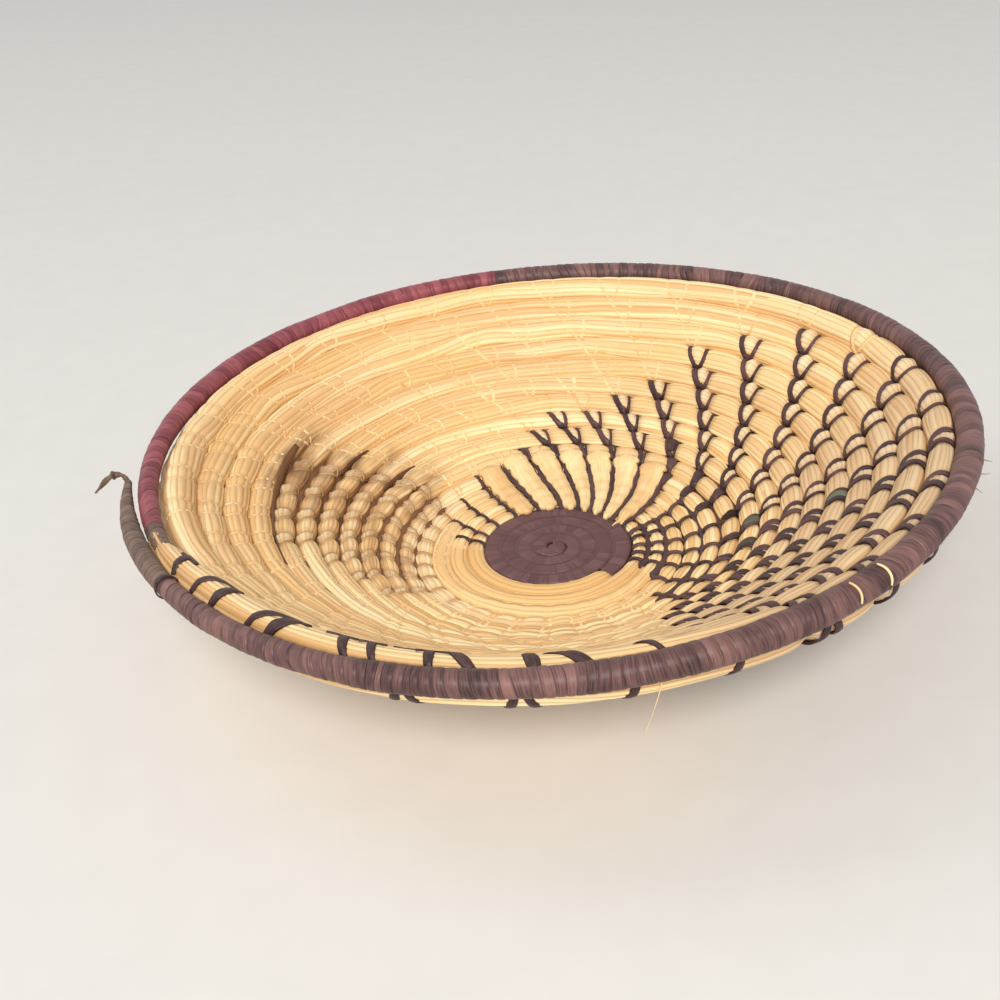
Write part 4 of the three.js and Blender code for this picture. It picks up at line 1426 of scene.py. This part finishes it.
class Finish:
    """A material, and the means to add nodes to it."""

    def __init__(self, name):
        self.material = bpy.data.materials.new(name)
        self.material.use_nodes = True
        self.nodes = self.material.node_tree.nodes
        self.shader = self.nodes["Principled BSDF"]

    def node(self, kind, settings=None, inputs=None, output=0):
        made = self.nodes.new(kind)
        for key, value in (settings or {}).items():
            setattr(made, key, value)
        self.feed(made, inputs or {})
        return Value(self, made.outputs[output])

    def feed(self, node, inputs):
        for key, value in inputs.items():
            if isinstance(value, Value):
                self.material.node_tree.links.new(value.socket, node.inputs[key])
            else:
                node.inputs[key].default_value = value

    def mark(self, name, vector=False):
        settings = {"attribute_name": name, "attribute_type": "GEOMETRY"}
        return self.node("ShaderNodeAttribute", settings, output="Vector" if vector else "Fac")

    def noise(self, place, stretch, detail=2.0, roughness=0.5):
        stretched = self.node("ShaderNodeVectorMath", {"operation": "MULTIPLY"}, {0: place, 1: stretch})
        inputs = {"Vector": stretched, "Scale": 1.0, "Detail": detail, "Roughness": roughness}
        return self.node("ShaderNodeTexNoise", {"noise_dimensions": "3D"}, inputs)

    def range(self, value, low, high, start=0.0, end=1.0):
        inputs = {"Value": value, "From Min": low, "From Max": high, "To Min": start, "To Max": end}
        return self.node("ShaderNodeMapRange", {"interpolation_type": "SMOOTHSTEP"}, inputs)

    def blend(self, share, first, second):
        settings = {"data_type": "RGBA", "clamp_factor": True}
        return self.node("ShaderNodeMix", settings, {0: share, 6: first, 7: second}, output=2)

    def bump(self, height, strength, distance):
        inputs = {"Strength": strength, "Distance": distance, "Height": height}
        return self.node("ShaderNodeBump", None, inputs)

    def finish(self, **sockets):
        self.feed(self.shader, {key.replace("_", " "): value for key, value in sockets.items()})
        return self.material


def colour(red, green, blue):
    """A colour as seen on a screen, from 0 to 255, as the shader's linear one."""
    shares = [c / 255 for c in (red, green, blue)]
    return (*[c / 12.92 if c <= 0.04 else ((c + 0.055) / 1.055) ** 2.4 for c in shares], 1.0)


# Finishes

STRAW_SHADE = colour(219, 172, 114)
STRAW_LIGHT = colour(247, 220, 169)
STRAW_HONEY = colour(236, 190, 116)
STRAW_SPECK = colour(188, 138, 84)
STRAW_GOLD = colour(220, 174, 108)
BEAD_CREAM_AND_HIGHLIGHT = colour(240, 224, 190)
STRAW_DULL = colour(190, 160, 130)
DYED_SHADE = colour(132, 88, 53)
DYED_LIGHT = colour(196, 146, 101)
DYED_DEEP = colour(120, 82, 50)
# Painted shade: in the creases between stalks, along the sides of the rows where turns meet, and in the
# dents that the stitches press
STALK_GROOVE_SHADE = colour(150, 104, 58)
ROW_EDGE_SHADE = colour(158, 112, 66)
DENT_SHADE = colour(150, 104, 62)
# Along the seams of the dark region: partly the dark strip, partly painted shade
SEAM_STRIP_AND_SHADE = colour(62, 44, 42)

# Strips: their dark and their light fibres, and for a wrap also the painted shade in the gaps between its
# windings
NATURAL_STRIP = colour(218, 172, 114), colour(248, 221, 170)
BLACK_STRIP = colour(44, 27, 28), colour(96, 66, 65)
BROWN_STRIP = colour(82, 50, 28), colour(140, 94, 58)
GREEN_STRIP = colour(84, 92, 76), colour(132, 138, 112)
DARK_WRAP_SHADES = colour(52, 33, 35), colour(141, 102, 96), colour(30, 20, 22)
CENTRE_WRAP_SHADES = colour(78, 49, 53), colour(112, 79, 81), colour(66, 41, 45)
RED_WRAP_SHADES = colour(100, 40, 50), colour(166, 92, 98), colour(56, 20, 28)
GREY_WRAP_SHADES = colour(72, 54, 46), colour(132, 107, 92), colour(40, 28, 25)
STRIP_SHINE = 0.3

FLOOR_SHADE = colour(212, 210, 207)
FLOOR_LIGHT = colour(218, 216, 213)


def straw_finish():
    f = Finish("straw_stalks")
    tone, groove_shade, dent, stain = f.mark("tone"), f.mark("groove_shade"), f.mark("dent"), f.mark("stain")
    seam, edge, gold, bead = f.mark("seam"), f.mark("edge"), f.mark("gold"), f.mark("bead")
    place = f.mark("place", vector=True)
    streak = f.noise(place, (0.035, 1.6, 1), 3.0, 0.6)
    speck = f.noise(place, (0.25, 0.9, 1), 4.0, 0.65)
    patch = f.noise(place, (0.012, 0.05, 0))
    cloud = f.noise(place, (0.05, 0.12, 0), 2.0)
    pale = f.range(tone * 1.1 + (streak - 0.5) * 1.6, -1.0, 1.0)
    base = f.blend(pale, STRAW_SHADE, STRAW_LIGHT)
    base = f.blend(f.range(patch, 0.42, 0.62) * 0.3, base, STRAW_HONEY)
    base = f.blend(f.range(speck, 0.64, 0.82) * 0.3, base, STRAW_SPECK)
    base = f.blend(gold * 0.75, base, STRAW_GOLD)
    # Painted highlight on the swollen beads, and the paler straw of the bead row
    base = f.blend(bead * 0.6, base, BEAD_CREAM_AND_HIGHLIGHT)
    base = f.blend(f.mark("dull") * 0.5, base, STRAW_DULL)
    browned = f.blend(pale, DYED_SHADE, DYED_LIGHT)
    base = f.blend(stain * f.range(cloud * 0.9 + edge * 0.55 + speck * 0.3, 0.35, 0.9), base, browned)
    base = f.blend(f.mark("dyed") * f.range(cloud + edge * 0.5, 0.3, 0.75) * 0.8, base, DYED_DEEP)
    # Painted shade in the creases between stalks
    base = f.blend(f.range(groove_shade, 0.3, 1.0) * 0.42, base, STALK_GROOVE_SHADE)
    # Painted shade along the sides of the rows, where turns meet
    base = f.blend(edge * 0.46, base, ROW_EDGE_SHADE)
    # Painted shade in the dents that the stitches press
    base = f.blend(f.range(dent, 0.3, 1.1) * 0.3, base, DENT_SHADE)
    # Seams of the dark region: partly the dark strip, partly painted shade
    base = f.blend(f.range(seam + (speck - 0.5) * 0.4, 0.25, 0.75) * 0.9, base, SEAM_STRIP_AND_SHADE)
    rough = f.range(streak, 0.3, 0.75, 0.4, 0.6)
    bump = f.bump(streak * 0.6 + speck * 0.4, 0.3, 0.0004)
    return f.finish(Base_Color=base, Roughness=rough, Normal=bump)


def strip_nodes(f, dark, light):
    """Colour, roughness and bump of a flat strip split from a leaf, with fibres along it."""
    tone, place = f.mark("tone"), f.mark("place", vector=True)
    fibre = f.noise(place, (0.06, 2.4, 1), 3.0, 0.65)
    cloud = f.noise(place, (0.09, 0.3, 1), 3.0, 0.55)
    light_share = f.range(tone * 0.5 + (fibre - 0.5) * 2.6 + (cloud - 0.5) * 1.4, -0.9, 1.2)
    rough = f.range(fibre, 0.3, 0.75, 0.36, 0.56)
    return f.blend(light_share, dark, light), rough, f.bump(fibre, 0.4, 0.0003)


def wrap_finish(name, dark, light, gap):
    f = Finish(name)
    base, rough, bump = strip_nodes(f, dark, light)
    # Painted shade in the gaps between the windings
    base = f.blend(f.range(f.mark("groove_shade"), 0.1, 0.9) * 0.8, base, gap)
    return f.finish(Base_Color=base, Roughness=rough, Normal=bump, Specular_IOR_Level=STRIP_SHINE)


def stitch_finish():
    f = Finish("stitch_strip")
    natural, rough, bump = strip_nodes(f, *NATURAL_STRIP)
    black, _, _ = strip_nodes(f, *BLACK_STRIP)
    brown, _, _ = strip_nodes(f, *BROWN_STRIP)
    green, _, _ = strip_nodes(f, *GREEN_STRIP)
    base = f.blend(f.range(f.mark("dark"), 0.1, 0.7), natural, black)
    base = f.blend(f.mark("brown"), base, brown)
    base = f.blend(f.mark("green") * 0.7, base, green)
    return f.finish(Base_Color=base, Roughness=rough, Normal=bump, Specular_IOR_Level=STRIP_SHINE)


def dress(piece, material, slot, *nodes):
    """Gives a piece its material and its body, and hides the nodes that it stands for."""
    piece.data.materials.clear()
    piece.data.materials.append(material)
    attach(piece, "root")
    if nodes:
        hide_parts(*nodes)
    return piece


# Camera, lights and floor

CAMERA_PLACE = (-18.2, -414.2, 274.6)
CAMERA_RIGHT = (0.9941, -0.0555, -0.0932)
CAMERA_UP = (0.1085, 0.5086, 0.8541)
CAMERA_FORWARD = (0.0, 0.8592, -0.5116)
LENS = 46.55
SENSOR_WIDTH = 36

# Lamps: place and size in metres, power in watts and tint
LAMPS = [
    ("key", (-0.1, -2.3, 1.95), 1.3, 92.0, (1.0, 0.97, 0.92)),
    ("fill", (-2.0, 1.2, 2.4), 2.0, 20.0, (1.0, 1.0, 1.0)),
]
LAMP_TARGET = (0, 0, 0.02)
WORLD_STRENGTH = 0.44
SEEN_STRENGTH = 1.0
FLOOR_HALF = 4000
FLOOR_HEIGHT = -0.0002


def make_camera():
    data = bpy.data.cameras.new("camera")
    data.sensor_width = SENSOR_WIDTH
    data.lens = LENS
    data.clip_start = 0.01
    camera = bpy.data.objects.new("camera", data)
    right, up = Vector(CAMERA_RIGHT).normalized(), Vector(CAMERA_UP).normalized()
    back = -Vector(CAMERA_FORWARD).normalized()
    turn = Matrix((right, up, back)).transposed().to_4x4()
    camera.matrix_world = Matrix.Translation(Vector(CAMERA_PLACE) * MM) @ turn
    bpy.context.scene.collection.objects.link(camera)
    bpy.context.scene.camera = camera


def make_lamp(name, place, size, power, tint):
    data = bpy.data.lights.new(name, "AREA")
    data.shape = "DISK"
    data.size = size
    data.energy = power
    data.color = tint
    lamp = bpy.data.objects.new(name, data)
    lamp.location = place
    lamp.rotation_euler = (Vector(LAMP_TARGET) - Vector(place)).to_track_quat("-Z", "Y").to_euler()
    bpy.context.scene.collection.objects.link(lamp)


def make_floor():
    f = Finish("floor_pale")
    place = f.node("ShaderNodeTexCoord", output="Object")
    grain = f.noise(place, (60, 60, 60))
    base = f.blend(grain, FLOOR_SHADE, FLOOR_LIGHT)
    material = f.finish(Base_Color=base, Roughness=0.9)
    corners = [(x * FLOOR_HALF, y * FLOOR_HALF, 0) for x, y in ((-1, -1), (1, -1), (1, 1), (-1, 1))]
    floor = mesh_object("floor", corners, [[0, 1, 2, 3]])
    floor.location.z = FLOOR_HEIGHT
    floor.data.materials.append(material)
    floor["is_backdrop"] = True


def make_world():
    """An even white light, seen at full strength by the camera, in gloss and through glass."""
    world = bpy.data.worlds.new("studio")
    bpy.context.scene.world = world
    world.use_nodes = True
    nodes, links = world.node_tree.nodes, world.node_tree.links
    background = nodes["Background"]
    background.inputs["Color"].default_value = (1, 1, 1, 1)
    path = nodes.new("ShaderNodeLightPath")
    seen = path.outputs["Is Camera Ray"]
    for other in ("Is Glossy Ray", "Is Transmission Ray"):
        total = nodes.new("ShaderNodeMath")
        total.operation = "ADD"
        total.use_clamp = True
        links.new(seen, total.inputs[0])
        links.new(path.outputs[other], total.inputs[1])
        seen = total.outputs[0]
    strength = nodes.new("ShaderNodeMath")
    strength.operation = "MULTIPLY_ADD"
    strength.inputs[1].default_value = SEEN_STRENGTH - WORLD_STRENGTH
    strength.inputs[2].default_value = WORLD_STRENGTH
    links.new(seen, strength.inputs[0])
    links.new(strength.outputs[0], background.inputs["Strength"])
    bpy.context.scene.view_settings.view_transform = "Standard"


# Angles of the columns whose strip is mostly dark or brown
DARK_COLUMNS_UP_TO = 60
DARK_COLUMNS_FROM = 290
BROWN_COLUMNS = (150, 195)


def column_slot(column):
    degrees = 360 / COLUMNS * column
    if degrees < DARK_COLUMNS_UP_TO or degrees > DARK_COLUMNS_FROM:
        return "dark_strip"
    return "brown_strip" if BROWN_COLUMNS[0] < degrees < BROWN_COLUMNS[1] else "straw"


def make_wraps(dark, plum, red, grey):
    ends = CENTRE_WRAP_START, CENTRE_WRAP_END
    centre = make_wrap("centre_strip", *ends, 3.0, 0.06, 3, corners=20, press=CENTRE_PRESS, slant=0.2)
    dress(centre, plum, "dark_strip", "centre_wrap")
    grey_part = make_wrap("rim_strip_grey", GREY_WRAP_START, RED_WRAP_START, 3.2, 0.22, 4)
    dress(grey_part, grey, "grey_strip", "rim_wrap_grey")
    red_part = make_wrap("rim_strip_red", RED_WRAP_START, DARK_WRAP_START, 3.4, 0.22, 5)
    dress(red_part, red, "red_strip", "rim_wrap_red")
    dark_part = make_wrap("rim_strip_dark", DARK_WRAP_START, TAIL_WRAP_START, 3.3, 0.25, 6)
    dress(dark_part, dark, "dark_strip", "rim_wrap_dark")
    tail = make_wrap("tail_strip_grey", TAIL_WRAP_START, COIL_END, 3.0, 0.25, 8)
    dress(tail, grey, "grey_strip", "tail_wrap_grey")


def make_strands(strip, plum, grey):
    """All that lies on the bundle, the stitches and the wraps."""
    for piece in make_finger_strands():
        dress(piece, strip, "straw" if piece.name == "finger_strands" else "dark_strip")
    # Dark seam strands: partly dark strip, partly painted shade
    dark_seams = seam_strands("dark_seam_and_shade_strands", range(5, 16), 34.0, -70.0, 0, dark_seam_strip_and_shade)
    dress(dark_seams, strip, "dark_strip")
    brown_seams = seam_strands("brown_seam_strands", range(8, 16), 128.0, 236.0, 1, brown_seam)
    dress(brown_seams, strip, "brown_strip")
    dress(make_coil_tip(), plum, "dark_strip")
    dress(make_centre_seams(), plum, "dark_strip")
    dress(make_loose_end(), grey, "grey_strip", "tail_loose_end")
    dress(make_ring_strand(), strip, "dark_strip")
    dress(make_course_strips("rim_claws", RIM_STRIPS, 0.6), strip, "dark_strip")
    dress(make_course_strips("outer_stitches", OUTER_STRIPS, 0.5), strip, "dark_strip")
    dress(make_course_strips("brown_strands", BROWN_STRIPS, 0.45, 1.0), strip, "brown_strip")
    dress(make_fibres(), strip, "straw")
    dress(make_stray_stalks(), strip, "straw")


def make_bowl():
    crossings = all_crossings()
    straw, strip = straw_finish(), stitch_finish()
    for piece in make_bundle(crossings):
        dress(piece, straw, "straw", "foundation_coil")
    for column, piece in enumerate(make_stitches(crossings)):
        dress(piece, strip, column_slot(column), f"stitch_column_{column + 1:02d}")
    dark = wrap_finish("dark_wrap", *DARK_WRAP_SHADES)
    plum = wrap_finish("centre_wrap", *CENTRE_WRAP_SHADES)
    red = wrap_finish("red_wrap", *RED_WRAP_SHADES)
    grey = wrap_finish("grey_wrap", *GREY_WRAP_SHADES)
    make_wraps(dark, plum, red, grey)
    make_strands(strip, plum, grey)


make_camera()
make_floor()
make_world()
for lamp in LAMPS:
    make_lamp(*lamp)
make_bowl()

boxes = {"cad": cad_box, "visual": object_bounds()}
{key: [list(map(float, corner)) for corner in box] for key, box in boxes.items()}
